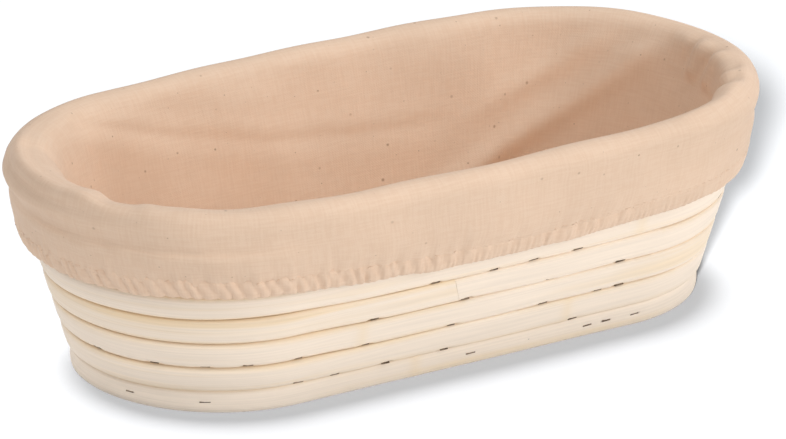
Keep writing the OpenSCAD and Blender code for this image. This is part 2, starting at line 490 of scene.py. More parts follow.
class Effects:
    """Shader groups that more than one finish, or more than one layer of a finish, uses.

    Each reads a map of the surface in metres, and is made once.
    """

    @staticmethod
    def start(name: str, inputs: Sequence[str], outputs: Sequence[str]) -> tuple:
        """Starts a group with named sockets.

        Args:
            name: name of the group.
            inputs: names of the inputs after the map, which are all plain numbers.
            outputs: names of the outputs, which are all plain numbers.

        Returns:
            The group, the bench for its nodes, its inputs by name, and its output node.
        """
        tree = bpy.data.node_groups.new(name, "ShaderNodeTree")
        bench = NodeBench(tree)
        tree.interface.new_socket("Map", in_out="INPUT", socket_type="NodeSocketVector")
        for way, sockets in (("INPUT", inputs), ("OUTPUT", outputs)):
            for socket in sockets:
                tree.interface.new_socket(socket, in_out=way, socket_type="NodeSocketFloat")
        return tree, bench, bench.add("NodeGroupInput").outputs, bench.add("NodeGroupOutput")

    @staticmethod
    @cache
    def drawn_grain() -> bpy.types.NodeTree:
        """Makes noise that is drawn out along the first direction of the map.

        Returns:
            The group.
        """
        tree, bench, given, result = Effects.start("drawn grain", ["Length", "Width", "Detail"], ["Value"])
        stretch = bench.add("CombineXYZ", X=given["Length"], Y=given["Width"], Z=1.0)
        scaled = bench.add("VectorMath", {"operation": "DIVIDE"})
        bench.put(scaled, 0, given["Map"])
        bench.put(scaled, 1, stretch.outputs[0])
        noise = bench.add("TexNoise", {"noise_dimensions": "2D"}, Vector=scaled.outputs[0], Scale=1.0)
        bench.put(noise, "Detail", given["Detail"])
        bench.put(result, "Value", noise.outputs[0])
        return tree

    @staticmethod
    @cache
    def plain_weave() -> bpy.types.NodeTree:
        """Makes over-and-under threads of uneven yarn.

        Returns:
            The group, whose Yarn is the yarn's paleness and whose Height is for relief.
        """
        slub, paleness, thread_height = Grain(9.0, 0.7, 2.0), (0.7, 1.3), 0.5
        tree, bench, given, result = Effects.start("plain weave", ["Thread"], ["Yarn", "Height"])
        axes = bench.add("SeparateXYZ", Vector=given["Map"]).outputs
        waves = []
        for axis in ("X", "Y"):
            turns = bench.math("DIVIDE", axes[axis], given["Thread"])
            waves.append(bench.math("SINE", bench.product(turns, math.pi)))
        swapped = bench.add("CombineXYZ", X=axes["Y"], Y=axes["X"]).outputs[0]
        uneven = bench.math("ADD", slub.lay(bench, given["Map"]), slub.lay(bench, swapped))
        yarn = bench.span(uneven, paleness)
        bench.put(result, "Yarn", yarn)
        bench.put(result, "Height", bench.math("ADD", bench.product(*waves, thread_height), yarn))
        return tree

    @staticmethod
    @cache
    def husk_specks() -> bpy.types.NodeTree:
        """Makes specks of seed husk, scattered and of uneven size and strength.

        Returns:
            The group.
        """
        least_size, least_strength, soft_edge = 0.2, 0.4, (0.3, 1.0)
        tree, bench, given, result = Effects.start("husk specks", ["Spacing", "Size", "Share"], ["Speck"])
        cells = bench.add("TexVoronoi", {"voronoi_dimensions": "2D"}, Vector=given["Map"])
        bench.put(cells, "Scale", bench.math("DIVIDE", 1.0, given["Spacing"]))
        away = bench.product(cells.outputs["Distance"], given["Spacing"])
        chance = bench.add("SeparateColor", Color=cells.outputs["Color"]).outputs
        size = bench.product(given["Size"], bench.least_to_one(chance[0], least_size))
        inside = bench.math("SUBTRACT", 1.0, bench.span(bench.math("DIVIDE", away, size), soft_edge))
        chosen = bench.math("LESS_THAN", chance[1], given["Share"])
        strength = bench.least_to_one(chance[2], least_strength)
        bench.put(result, "Speck", bench.product(inside, chosen, strength))
        return tree


@dataclass(frozen=True)
class Grain:
    """A layer of drawn-out noise. Its length and width are in millimetres."""

    length: float
    width: float
    detail: float

    def lay(self, bench: NodeBench, surface_map: Socket) -> Socket:
        """Adds the layer.

        Args:
            bench: where it is added.
            surface_map: the map that it follows.

        Returns:
            Its value, about 0.5 on average.
        """
        layer = bench.add("Group", {"node_tree": Effects.drawn_grain()}, Map=surface_map)
        bench.put(layer, "Detail", self.detail)
        bench.put(layer, "Length", self.length * MM)
        bench.put(layer, "Width", self.width * MM)
        return layer.outputs["Value"]


class Finish:
    """A finish starts a material, and its own class adds the nodes."""

    def start(self, name: str, **settings: object) -> tuple:
        """Makes a material with a shader.

        Args:
            name: name of the material.
            settings: values of the shader's inputs, with _ for a space.

        Returns:
            The material, the bench for its nodes, its shader, and the coordinates that it may read.
        """
        material = bpy.data.materials.new(name)
        material.use_nodes = True
        bench = NodeBench(material.node_tree)
        shader = bench.add("BsdfPrincipled", **settings)
        bench.add("OutputMaterial", Surface=shader.outputs[0])
        return material, bench, shader, bench.add("TexCoord").outputs

    def bump(self, bench: NodeBench, shader: bpy.types.Node, height: object, depth: float) -> None:
        """Adds fine relief of a depth in millimetres."""
        relief = bench.add("Bump", Strength=1.0, Distance=depth * MM, Height=height)
        bench.put(shader, "Normal", relief.outputs[0])


@dataclass(frozen=True)
class CaneFinish(Finish):
    """Peeled cane: pale and fibrous, straw-coloured in streaks, and tan where turns meet, partly its own
    tone and partly painted shade; painted shade also darkens the seams between turns and the staples' slots.
    """

    cream: Colour = (0.965, 0.828, 0.690)
    straw: Colour = (0.925, 0.722, 0.475)
    # Painted shade laid into the seams between turns, where they are shaded
    seam_shade: Colour = (0.480, 0.320, 0.170)
    # Painted shade laid into the slots that the staples sink into
    slot: Colour = (0.130, 0.075, 0.035)
    roughness: float = 0.62
    gloss: float = 0.25
    fibre_relief: float = 0.05
    streak: Grain = Grain(160.0, 4.5, 3.0)
    fibre: Grain = Grain(45.0, 0.5, 2.0)
    cloud: Grain = Grain(50.0, 20.0, 2.0)
    # Levels of the grain or of a mark between which a colour comes in
    streak_limits: tuple[float, float] = (0.48, 0.75)
    skin_limits: tuple[float, float] = (0.25, 0.62)
    seam_tan_and_shade_limits: tuple[float, float] = (0.50, 0.98)
    seam_shade_limits: tuple[float, float] = (0.95, 1.00)
    slot_shade_limits: tuple[float, float] = (0.20, 0.90)
    fibre_shade: tuple[float, float] = (0.90, 1.06)
    # Greatest share of a colour or of painted shade, and the least share of tan at seams that get no painted
    # shade
    streak_share: float = 0.55
    knuckle_share: float = 0.35
    seam_shade_share: float = 0.8
    slot_share: float = 0.8
    unshaded_seam_tan: float = 0.2

    def make(self) -> Material:
        """Builds the material.

        Returns:
            The material.
        """
        material, bench, shader, place = self.start(
            "peeled cane", Roughness=self.roughness, Specular_IOR_Level=self.gloss
        )
        streak, fibre, cloud = (
            grain.lay(bench, place["UV"]) for grain in (self.streak, self.fibre, self.cloud)
        )
        mark = {m: bench.add("Attribute", {"attribute_name": m.value}).outputs["Fac"] for m in Mark}

        streaked = bench.product(bench.span(streak, self.streak_limits), self.streak_share)
        # Tan where turns meet: partly the cane's own tone and partly painted shade, as it grows where the
        # seams are shaded
        seam_tone_and_shade = bench.product(cloud, bench.least_to_one(mark[Mark.OPEN], self.unshaded_seam_tan))
        seam_tone_and_shade = bench.product(bench.span(mark[Mark.CREVICE], self.seam_tan_and_shade_limits), seam_tone_and_shade)
        skin = bench.product(mark[Mark.SKIN], bench.span(streak, self.skin_limits))
        yellow = bench.math("MAXIMUM", bench.math("MAXIMUM", streaked, seam_tone_and_shade), skin)
        colour = bench.shade(bench.mix(yellow, self.cream, self.straw), self.fibre_shade, fibre)

        # Painted shade in the seams between turns, where the seam-shade mark is set
        seam_shade = bench.product(bench.span(mark[Mark.CREVICE], self.seam_shade_limits), mark[Mark.OPEN])
        # Painted shade in the slots that the staples sink into
        slot = bench.span(mark[Mark.SLOT], self.slot_shade_limits)
        for share, mask, tint in (
            (self.knuckle_share, mark[Mark.KNUCKLE], self.straw),
            (self.seam_shade_share, seam_shade, self.seam_shade),
            (self.slot_share, slot, self.slot),
        ):
            colour = bench.mix(bench.product(mask, share), colour, tint)
        bench.put(shader, "Base Color", colour)
        self.bump(bench, shader, fibre, self.fibre_relief)
        return material


@dataclass(frozen=True)
class WireFinish(Finish):
    """Dull steel wire, darker in random blotches of tarnish."""

    steel: Colour = (0.240, 0.170, 0.110)
    tarnish: Colour = (0.085, 0.050, 0.028)
    metal: float = 0.55
    blotch_scale: float = 420.0
    blotch_detail: float = 3.0
    blotch_limits: tuple[float, float] = (0.35, 0.65)
    least_roughness: float = 0.3
    roughness_change: float = 0.4

    def make(self) -> Material:
        """Builds the material.

        Returns:
            The material.
        """
        material, bench, shader, place = self.start("staple wire", Metallic=self.metal)
        noise = bench.add("TexNoise", Vector=place["Object"], Scale=self.blotch_scale)
        bench.put(noise, "Detail", self.blotch_detail)
        blotch = noise.outputs[0]
        colour = bench.mix(bench.span(blotch, self.blotch_limits), self.steel, self.tarnish)
        roughness = bench.math("MULTIPLY_ADD", blotch, self.roughness_change, self.least_roughness)
        bench.put(shader, "Base Color", colour)
        bench.put(shader, "Roughness", roughness)
        return material


@dataclass(frozen=True)
class ClothFinish(Finish):
    """Unbleached cotton in plain weave, with uneven yarn and specks."""

    name: str = "unbleached cotton"
    cotton: Colour = (0.800, 0.597, 0.447)
    slub: Colour = (0.730, 0.505, 0.355)
    speck: Colour = (0.260, 0.150, 0.080)
    roughness: float = 0.92
    gloss: float = 0.15
    sheen: float = 0.12
    sheen_roughness: float = 0.5
    thread: float = 0.45
    relief: float = 0.023
    slub_share: float = 0.42
    blot_scale: float = 26.0
    blot_shade: tuple[float, float] = (0.93, 1.07)
    speck_strength: float = 0.65
    # Coarse and fine specks: spacing and greatest size in millimetres, and share of places that have one
    specks: tuple[tuple[float, float, float], ...] = ((13.0, 0.80, 0.38), (4.2, 0.36, 0.12))

    def make(self) -> Material:
        """Builds the material.

        Returns:
            The material.
        """
        material, bench, shader, place = self.start(
            self.name,
            Roughness=self.roughness,
            Specular_IOR_Level=self.gloss,
            Sheen_Weight=self.sheen,
            Sheen_Roughness=self.sheen_roughness,
        )
        surface_map = place["UV"]
        weave = bench.add("Group", {"node_tree": Effects.plain_weave()}, Map=surface_map)
        bench.put(weave, "Thread", self.thread * MM)
        blot = bench.add("TexNoise", {"noise_dimensions": "2D"}, Vector=surface_map, Scale=self.blot_scale)
        slubs = bench.product(bench.math("SUBTRACT", 1.0, weave.outputs["Yarn"]), self.slub_share)
        colour = bench.shade(bench.mix(slubs, self.cotton, self.slub), self.blot_shade, blot.outputs[0])
        layers = []
        for spacing, size, share in self.specks:
            layer = bench.add("Group", {"node_tree": Effects.husk_specks()}, Map=surface_map, Share=share)
            bench.put(layer, "Spacing", spacing * MM)
            bench.put(layer, "Size", size * MM)
            layers.append(layer.outputs["Speck"])
        speck = bench.product(bench.math("MAXIMUM", *layers), self.speck_strength)
        bench.put(shader, "Base Color", bench.mix(speck, colour, self.speck))
        self.bump(bench, shader, weave.outputs["Height"], self.relief)
        return material


@dataclass(frozen=True)
class ThreadFinish(Finish):
    """Cotton sewing thread, twisted."""

    cotton: Colour = (0.805, 0.600, 0.450)
    shadow: Colour = (0.745, 0.548, 0.402)
    roughness: float = 0.85
    gloss: float = 0.2
    twist_scale: float = 1400.0
    twist_detail: float = 1.0
    twist_limits: tuple[float, float] = (0.35, 0.70)
    relief: float = 0.06

    def make(self) -> Material:
        """Builds the material.

        Returns:
            The material.
        """
        material, bench, shader, place = self.start(
            "sewing thread", Roughness=self.roughness, Specular_IOR_Level=self.gloss
        )
        noise = bench.add("TexNoise", Vector=place["Object"], Scale=self.twist_scale)
        bench.put(noise, "Detail", self.twist_detail)
        twist = noise.outputs[0]
        colour = bench.mix(bench.span(twist, self.twist_limits), self.cotton, self.shadow)
        bench.put(shader, "Base Color", colour)
        self.bump(bench, shader, twist, self.relief)
        return material


def dress(
    piece: Piece, material: Material, body: Body, nodes: Sequence[str] = ()
) -> None:
    """Gives a piece its finish and its body, and hides the solids that it stands for.

    Args:
        piece: the piece.
        material: its finish.
        body: the body that it rides on.
        nodes: names of the solids that it replaces.
    """
    piece.data.materials.clear()
    piece.data.materials.append(material)
    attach(piece, body.value)
    if nodes:
        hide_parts(*nodes)


@dataclass(frozen=True)
class OvalForm:
    """The basket's oval plan and leaning wall. Lengths are in millimetres."""

    rim_length: float = 273.0
    rim_width: float = 141.0
    height: float = 75.0
    lean: float = math.radians(16.5)
    side_swell: float = 3.5
    least_swell: float = 0.01
    cane_d: float = 9.4
    turn_gap: float = 0.5
    foot_flat: float = 0.94

    @property
    def cane_r(self) -> float:
        """Radius of the cane."""
        return self.cane_d / 2

    @property
    def cane_z(self) -> float:
        """Height of the base cane's centre."""
        return self.cane_r - self.foot_flat

    @property
    def half_straight(self) -> float:
        """Half the distance between the centres of the round ends."""
        return (self.rim_length - self.rim_width) / 2

    @property
    def wall_slope(self) -> float:
        """Distance up the wall from the lowest course to the rim, between centres."""
        return (self.height - self.cane_r - self.cane_z) / math.cos(self.lean)

    @property
    def wall_turns(self) -> int:
        """Courses above the lowest one."""
        return math.floor(self.wall_slope / (self.cane_d + self.turn_gap))

    @property
    def wall_pitch(self) -> float:
        """Distance between courses of the wall."""
        return self.wall_slope / self.wall_turns

    @property
    def foot_r(self) -> float:
        """Half width of the lowest course, to the cane's centre."""
        return self.rim_width / 2 - self.cane_r - self.wall_slope * math.sin(self.lean)

    @property
    def middle_r(self) -> float:
        """Half width of the middle of the wall."""
        return self.foot_r + self.wall_slope * math.sin(self.lean) / 2

    @property
    def girth(self) -> float:
        """Length round the middle of the wall."""
        return 4 * self.half_straight + TAU * self.middle_r

    @property
    def base_turns(self) -> int:
        """Turns of the base inside the lowest course."""
        return math.floor(self.foot_r / (self.cane_d + self.turn_gap) - 0.5)

    @property
    def base_pitch(self) -> float:
        """Distance between turns of the base."""
        return self.foot_r / (self.base_turns + 0.5)

    def outline(self, turn: Array, out: Array, slope: Array) -> tuple[Array, Array, Array]:
        """Finds points of the oval, which is made of four arcs.

        Args:
            turn: places round the basket.
            out: distances outwards from the lowest course.
            slope: distances up the wall, which set the swell of the sides.

        Returns:
            x, y and the angle of the outward direction.
        """
        half_width = self.foot_r + out
        swell = np.maximum(self.least_swell, self.side_swell * np.minimum(1.0, slope / self.wall_slope))
        end_r = half_width - swell
        end_x = self.half_straight + swell
        side_r = (end_x**2 + half_width**2 - end_r**2) / (2 * swell)
        side_y = side_r - half_width
        corner = np.arctan2(side_y, end_x)
        leg = np.minimum(3, np.floor(turn / QUARTER))
        f = turn / QUARTER - leg
        along_side = f * (math.pi - 2 * corner)
        along_end = f * 2 * corner
        back, left, front = leg == 0, leg == 1, leg == 2
        angle = np.select(
            [back, left, front],
            [corner + along_side, math.pi - corner + along_end, math.pi + corner + along_side],
            -corner + along_end,
        )
        radius = np.where(back | front, side_r, end_r)
        middle_x = np.select([back | front, left], [0.0, -end_x], end_x)
        middle_y = np.select([back, front], [-side_y, side_y], 0.0)
        return middle_x + radius * np.cos(angle), middle_y + radius * np.sin(angle), angle

    def wall_point(self, slope: Array, d: Array | float) -> tuple[Array, Array]:
        """Distance outwards and height of a point up the wall and d out of the line of cane centres."""
        sine, cosine = math.sin(self.lean), math.cos(self.lean)
        return slope * sine + d * cosine, self.cane_z + slope * cosine - d * sine

    def out_at(self, z: Array, d: Array | float) -> Array:
        """Distance outwards of a point at a height and d out of the line of cane centres."""
        sine, cosine = math.sin(self.lean), math.cos(self.lean)
        return (z - self.cane_z + d * sine) / cosine * sine + d * cosine

    def place(self, turn: Array, out: Array, z: Array) -> Array:
        """Points at places round the basket, distances outwards and heights."""
        x, y, _ = self.outline(turn, out, (z - self.cane_z) / math.cos(self.lean))
        return np.stack([x, y, z], axis=-1)

    def even_turn(self, share: Array) -> Array:
        """Finds places that are spaced evenly round the girth.

        Args:
            share: shares of the way round.

        Returns:
            Places, at which each side and each end is a quarter.
        """
        side, end = 2 * self.half_straight, math.pi * self.middle_r
        side_share = side / (2 * (side + end))
        shares = [0.0, side_share, 0.5, 0.5 + side_share, 1.0]
        return np.interp(share % 1.0, shares, QUARTER * np.arange(len(shares)))


@dataclass(frozen=True)
class CanePath(OvalForm):
    """The way the cane takes from the middle of the base to the rim. Its lengths start at given turns."""

    base_end: float = 0.31
    lower_start: float = 2.16
    upper_start: float = 3.608
    rim_start: float = 5.84
    wedge: float = QUARTER / 3
    corner_room: float = 0.775
    least_thickness: float = 0.05
    fine_steps: int = 1500

    @property
    def first(self) -> float:
        """Turn at which the cane starts."""
        return self.wedge - self.base_turns

    @property
    def last(self) -> float:
        """Turn at which the cane ends."""
        return self.wall_turns + 1 + self.wedge

    def climb(self, t: Array) -> Array:
        """Share of the step up to this turn's course that is done, along the back."""
        return ease((t - np.floor(t)) / QUARTER)

    def plain_distance(self, t: Array) -> Array:
        """Finds how far from the foot the cane's centre is, with no wedges.

        Args:
            t: turns.

        Returns:
            Distances, inwards below 0 and up the wall above 0.
        """
        course, f = np.floor(t), self.climb(t)
        back = (1 - f) * self.base_pitch
        reach = self.base_pitch + (self.wall_pitch - self.base_pitch) * f
        reach = reach + self.corner_room * np.sin(math.pi * f)
        lean_back = back * math.sin(self.lean)
        step = np.sqrt(lean_back**2 + reach**2 - back**2) - lean_back
        in_base = (course - 1 + f) * self.base_pitch
        return np.where(course <= 0, in_base, step + (course - 1) * self.wall_pitch)

    def wedges(self, t: Array) -> list[Array]:
        """Whether turns lie in the shaved wedge at the start, and in the one at the end."""
        return [t < QUARTER - self.base_turns, t > self.wall_turns + 1]

    def thickness(self, t: Array) -> Array:
        """Finds the share of its full thickness that the cane has.

        Args:
            t: turns.

        Returns:
            Shares, less than 1 in the wedges.
        """
        first = (self.cane_d - (1 - self.climb(t)) * self.base_pitch) / self.cane_d
        room = self.wall_slope - self.plain_distance(t - 1) - (self.wall_pitch - self.cane_d)
        last = np.clip(room / self.cane_d, self.least_thickness, 1.0)
        return np.select(self.wedges(t), [first, last], 1.0)

    def distance(self, t: Array) -> Array:
        """Distance of the cane's centre from the foot, with the wedges."""
        first = self.climb(t) * self.base_pitch / 2 - self.foot_r
        last = self.wall_slope + self.cane_r * (1 - self.thickness(t))
        return np.select(self.wedges(t), [first, last], self.plain_distance(t))

    def centre(self, t: Array) -> tuple[Array, Array, Array, Array]:
        """Finds the cane's centre.

        Args:
            t: turns.

        Returns:
            x, y, z and the angle of the outward direction.
        """
        s = self.distance(t)
        out, z = self.wall_point(s, 0.0)
        out, z = np.where(s <= 0, s, out), np.where(s <= 0, self.cane_z, z)
        x, y, angle = self.outline(t - np.floor(t), out, s)
        return x, y, z, angle

    def point(self, t: Array, d: Array | float, h: Array | float) -> Array:
        """Finds points of the cane's section.

        Args:
            t: turns.
            d: distances outwards from the cane's centre.
            h: distances up from it, leaning as the wall does.

        Returns:
            The points.
        """
        x, y, z, angle = self.centre(t)
        lean = self.lean * np.clip(self.distance(t) / self.wall_pitch, 0.0, 1.0)
        out = d * np.cos(lean) + h * np.sin(lean)
        up = h * np.cos(lean) - d * np.sin(lean)
        return np.stack([x + out * np.cos(angle), y + out * np.sin(angle), z + up], axis=-1)

    def even_turns(self, start: float, end: float, spacing: float) -> tuple[Array, Array]:
        """Spaces turns evenly along the cane.

        Args:
            start: the first turn.
            end: the last turn.
            spacing: about how far apart they are.

        Returns:
            The turns, and the length of cane up to each.
        """
        fine = np.linspace(start, end, round((end - start) * self.fine_steps) + 2)
        steps = np.linalg.norm(np.diff(self.point(fine, 0.0, 0.0), axis=0), axis=1)
        lengths = np.concatenate([[0.0], np.cumsum(steps)])
        even = np.linspace(0.0, lengths[-1], round(lengths[-1] / spacing) + 1)
        return np.interp(even, lengths, fine), even


@dataclass(frozen=True)
class CaneLength:
    """One length of cane, from one turn to another."""

    name: str
    start: float
    end: float
    seed: int


@dataclass(frozen=True)
class StaplePlan:
    """Where the staples go, as turns of the cane."""

    path: CanePath
    spacing: float = 28.0
    unevenness: float = 0.22
    wall_angle: float = math.radians(-41)
    wall_facing: float = math.radians(-22)
    base_angle: float = math.radians(-142)
    tightest_bend: float = 3.0
    usual_depth: float = 0.68
    depth_change: float = 0.32
    near_start: float = 0.34
    near_end: float = 0.80
    # Places of the staples on the near side, course by course from the lowest
    near_side: tuple[tuple[float, ...], ...] = (
        (0.405, 0.448, 0.627, 0.674, 0.716, 0.731, 0.752),
        (0.500, 0.526, 0.563, 0.606, 0.702),
        (0.389, 0.425, 0.451, 0.473, 0.500, 0.547, 0.608, 0.675, 0.716, 0.732),
        (0.552, 0.615, 0.676, 0.728),
        (0.592, 0.632, 0.660, 0.692),
    )

    def fits(self, t: float) -> bool:
        """Whether a staple goes in: in full cane, off the first step up, and not in a tight bend.

        Args:
            t: its turn.

        Returns:
            Whether it does.
        """
        path = self.path
        on_side = math.floor(t % 1.0 / QUARTER) % 2 == 0
        first_step = 1 <= t < 1 + QUARTER
        bend = path.foot_r + min(0.0, float(path.distance(np.array(t))))
        wedge = t < 1 - path.base_turns or t > path.wall_turns + 1
        return not wedge and not first_step and (on_side or bend > self.tightest_bend * path.base_pitch)

    def course(self, course: int) -> list[float]:
        """Lists the places of the staples in one course.

        Args:
            course: the course, 0 for the lowest of the wall and less in the base.

        Returns:
            Places round the basket, in order.
        """
        path = self.path
        middle = float(path.distance(np.array(course + 0.5)))
        out = middle if middle < 0 else middle * math.sin(path.lean)
        count = round((TAU * (path.foot_r + out) + 4 * path.half_straight) / self.spacing)
        # The two angles are far from any fraction of a turn, so that neighbours differ
        shifts = [self.unevenness * math.sin(math.radians(137 * i + 71 * course)) for i in range(count)]
        places = [(i + 0.5 + shift) / count for i, shift in enumerate(shifts)]
        if 0 <= course < len(self.near_side):
            places = [place for place in places if not self.near_start < place < self.near_end]
            places += self.near_side[course]
        return sorted(places)

    def turns(self, cane: CaneLength) -> list[float]:
        """Turns of the staples in one length of cane."""
        courses = range(math.floor(cane.start), math.floor(cane.end) + 1)
        found = [course + place for course in courses for place in self.course(course)]
        return [t for t in found if cane.start < t < cane.end and self.fits(t)]

    def driven(self, t: float) -> float:
        """How deep a staple's slot is, as a share of the deepest: uneven from one to the next."""
        return self.usual_depth + self.depth_change * math.sin(math.radians(7919 * t))

    def crown(self, t: float) -> tuple[float, float]:
        """Angle of a staple's crown round the cane's section, and the angle that it faces."""
        if t < 0:
            return self.base_angle, self.base_angle
        return (0.0, 0.0) if t < 1 else (self.wall_angle, self.wall_facing)


@dataclass
class CaneCoil:
    """The coil of cane, in five lengths, with slots where the staples go in."""

    path: CanePath
    plan: StaplePlan
    finish: CaneFinish
    sides: int = 48
    ring_spacing: float = 1.45
    crease: float = 50.0
    # How square the section is, and how much more where the cane is pressed at the right
    squareness: float = 4.6
    right_squareness: float = 4.0
    right: Stretch = Stretch(0.58, 0.88, 0.08)
    seam_gap: float = 0.08
    # Turns to either side of the last course's start over which the cane's top becomes round
    rim_blend: float = 0.1
    line: Wander = Wander(0.14, 70.0, 40)
    thickness: Wander = Wander(0.012, 90.0, 20)
    knuckle_spacing: float = 230.0
    # Least and greatest place of a length's first knuckle, in spacings
    first_knuckle: tuple[float, float] = (0.3, 0.9)
    knuckle_shift: float = 0.25
    knuckle_height: float = 0.16
    knuckle_length: float = 2.2
    slot_depth: float = 0.7
    slot_length: float = 3.9
    slot_width: float = 0.5
    slot_end: float = 0.5
    slot_share: float = 0.6
    pit_width: float = 0.6
    pit_inset: float = 0.3
    scarf_slope: float = -0.35
    scarf_reach: float = 7.0
    splice_gap: float = 0.10
    # Where the seams get painted shade: at the near left, and in random places elsewhere
    shaded_seams_left: Stretch = Stretch(0.37, 0.56, 0.08)
    shaded_seams_change: Wander = Wander(1.0, 120.0, 60)
    shaded_seams_level: float = 0.4
    shaded_seams_share: float = 0.4
    # Turns along which skin was left on: at the end of one length, and low on the foot
    skin_end: Stretch = Stretch(3.36, 3.62, 0.03)
    skin_end_share: float = 0.9
    skin_foot: Stretch = Stretch(0.53, 0.76, 0.03)
    # Heights and depths on the section between which skin comes in, in radii of the cane
    skin_end_heights: tuple[float, float] = (-0.6, 0.4)
    skin_foot_depths: tuple[float, float] = (0.1, 0.6)

    def lengths(self) -> tuple[CaneLength, ...]:
        """The five lengths of cane, from the base to the rim."""
        p = self.path
        joints = (p.first, p.base_end, p.lower_start, p.upper_start, p.rim_start, p.last)
        names = ("base", "foot", "lower_wall", "upper_wall", "rim")
        return tuple(CaneLength(name, joints[i], joints[i + 1], 11 + i) for i, name in enumerate(names))

    def section(self, t: Array, around: Array) -> tuple[Array, Array, Array]:
        """Finds points of the cane's section, pressed flat against the turns on either side.

        Args:
            t: turns.
            around: angles round the section, from the outer face upwards.

        Returns:
            Distances outwards and up from the centre, and how near the point is to the next turn, 0 to 1.
        """
        path = self.path
        on_wall = ramp(0.0, path.wall_pitch, path.distance(t))
        past_base = ramp(0.0, QUARTER, t)
        base_half = (path.base_pitch - self.seam_gap) / 2
        wall_half = (path.wall_pitch - self.seam_gap) / 2
        inner = base_half + (path.cane_r - base_half) * on_wall
        outer = base_half + (path.cane_r - base_half) * past_base
        upper = path.cane_r + (wall_half - path.cane_r) * past_base
        lower = path.cane_r + (wall_half - path.cane_r) * on_wall

        free = ramp(path.wall_turns - self.rim_blend, path.wall_turns + self.rim_blend, t) * (around > 0)
        pressed = self.right(t - np.floor(t)) * on_wall
        d, h = rounded_square(around, self.squareness + self.right_squareness * pressed)
        d, h = d + (np.cos(around) - d) * free, h + (np.sin(around) - h) * free
        upper = upper + (path.cane_r - upper) * free
        above = np.abs(h) * np.where(h > 0, past_base * (1 - free), on_wall)
        beside = np.maximum(above, np.abs(d) * np.where(d > 0, 1 - past_base, 1 - on_wall))

        q = path.thickness(t)
        in_base = path.distance(t) < 0
        d = d * np.where(d > 0, outer, inner) * np.where(in_base, q, np.sqrt(q * (2 - q)))
        h = h * np.where(h > 0, upper, lower) * np.where(in_base, 1.0, q)
        return d, h, beside

    def slots(self, staples: Sequence[float], d: Array, h: Array, away: Array) -> Array:
        """Finds where the staples sink into the cane: a slot for the crown, and a pit for either leg.

        Args:
            staples: turns of the staples.
            d: distances of the cane's points outwards.
            h: distances of the cane's points up.
            away: for each staple, distances of the points along the cane.

        Returns:
            Share of the slots' full depth at the points.
        """
        sunk = np.zeros_like(d)
        half = self.slot_length / 2
        for staple, off in zip(staples, np.abs(away)):
            angle, _ = self.plan.crown(staple)
            middle_d, middle_h, _ = self.section(np.array(staple), np.array(angle))
            miss = np.hypot(d - middle_d, h - middle_h)
            slot = hump(miss, self.slot_width) * (1 - ramp(half - self.slot_end, half + self.slot_end, off))
            pits = hump(np.hypot(miss, off - half + self.pit_inset), self.pit_width)
            sunk = np.maximum(sunk, self.plan.driven(staple) * np.maximum(self.slot_share * slot, pits))
        return sunk

    def knuckles(self, cane: CaneLength, length: Array, whole: float) -> Array:
        """Finds the knuckles of a length of cane.

        Args:
            cane: the length of cane.
            length: distances along it.
            whole: its length.

        Returns:
            Heights, up to 1 on each knuckle.
        """
        rng = np.random.default_rng(cane.seed)
        counts = np.arange(rng.uniform(*self.first_knuckle), whole / self.knuckle_spacing)
        shifts = rng.uniform(-self.knuckle_shift, self.knuckle_shift, len(counts))
        places = (counts + shifts) * self.knuckle_spacing
        return sum((hump(length - place, self.knuckle_length) for place in places), np.zeros_like(length))

    def scarf(self, cane: CaneLength, h: Array, length: Array, whole: float) -> Array:
        """Finds how far points move along the cane so that its cut ends slant and don't quite meet.

        Args:
            cane: the length of cane.
            h: distances of the points up.
            length: distances along the cane.
            whole: its length.

        Returns:
            Distances along the cane.
        """
        moved = np.zeros_like(length)
        for end, inwards, cut in ((0.0, 1.0, cane.start > 0), (whole, -1.0, cane.end < self.path.last)):
            if cut:
                slant = self.scarf_slope * h + inwards * self.splice_gap / 2
                moved += slant * hump(length - end, self.scarf_reach)
        return moved

    def shape(self, cane: CaneLength, along: Array, across: Array) -> Shaped:
        """Rolls a grid up into one length of cane.

        Args:
            cane: the length of cane.
            along: shares of the way along it.
            across: shares of the way round its section.

        Returns:
            The points, with the marks that the cane's finish reads.
        """
        path = self.path
        ts, lengths = path.even_turns(cane.start, cane.end, self.ring_spacing)
        whole = lengths[-1]
        length = along * whole
        t = np.interp(length, lengths, ts)
        d, h, beside = self.section(t, even_angle(across, self.squareness))
        staples = self.plan.turns(cane)
        sunk = self.slots(staples, d, h, length - np.interp(staples, ts, lengths)[:, None])

        knuckle = self.knuckles(cane, length, whole)
        grow = 1 + self.thickness(length, cane.seed) + knuckle * self.knuckle_height / path.cane_r
        d = d * grow + self.line(length, cane.seed)
        h = h * np.minimum(grow, 1.0)
        turns_per_length = np.interp(length, lengths, np.gradient(ts, lengths))
        t = t + self.scarf(cane, h, length, whole) * turns_per_length
        keep = 1 - sunk * self.slot_depth / path.cane_r
        points = path.point(np.clip(t, path.first, path.last), d * keep, h * keep)
        points[:, 2] = np.maximum(points[:, 2], 0.0)

        level = h / path.cane_r
        # Painted shade in the seams: most at the near left end, and in random stretches elsewhere
        seam_shading = self.shaded_seams_left(t - np.floor(t))
        seam_shading = seam_shading + self.shaded_seams_share * (self.shaded_seams_change(length, cane.seed) > self.shaded_seams_level)
        end_skin = self.skin_end_share * self.skin_end(t) * ramp(*self.skin_end_heights, level)
        foot_skin = self.skin_foot(t) * ramp(*self.skin_foot_depths, -level)
        marks = {
            Mark.CREVICE: beside,
            Mark.KNUCKLE: np.minimum(knuckle, 1.0),
            Mark.SLOT: sunk,
            Mark.OPEN: np.minimum(seam_shading, 1.0),
            Mark.SKIN: end_skin * (cane.start < self.skin_end.low) + foot_skin,
        }
        surface_map = np.stack([length, across * math.pi * path.cane_d], axis=-1)
        return Shaped(points, surface_map, marks)

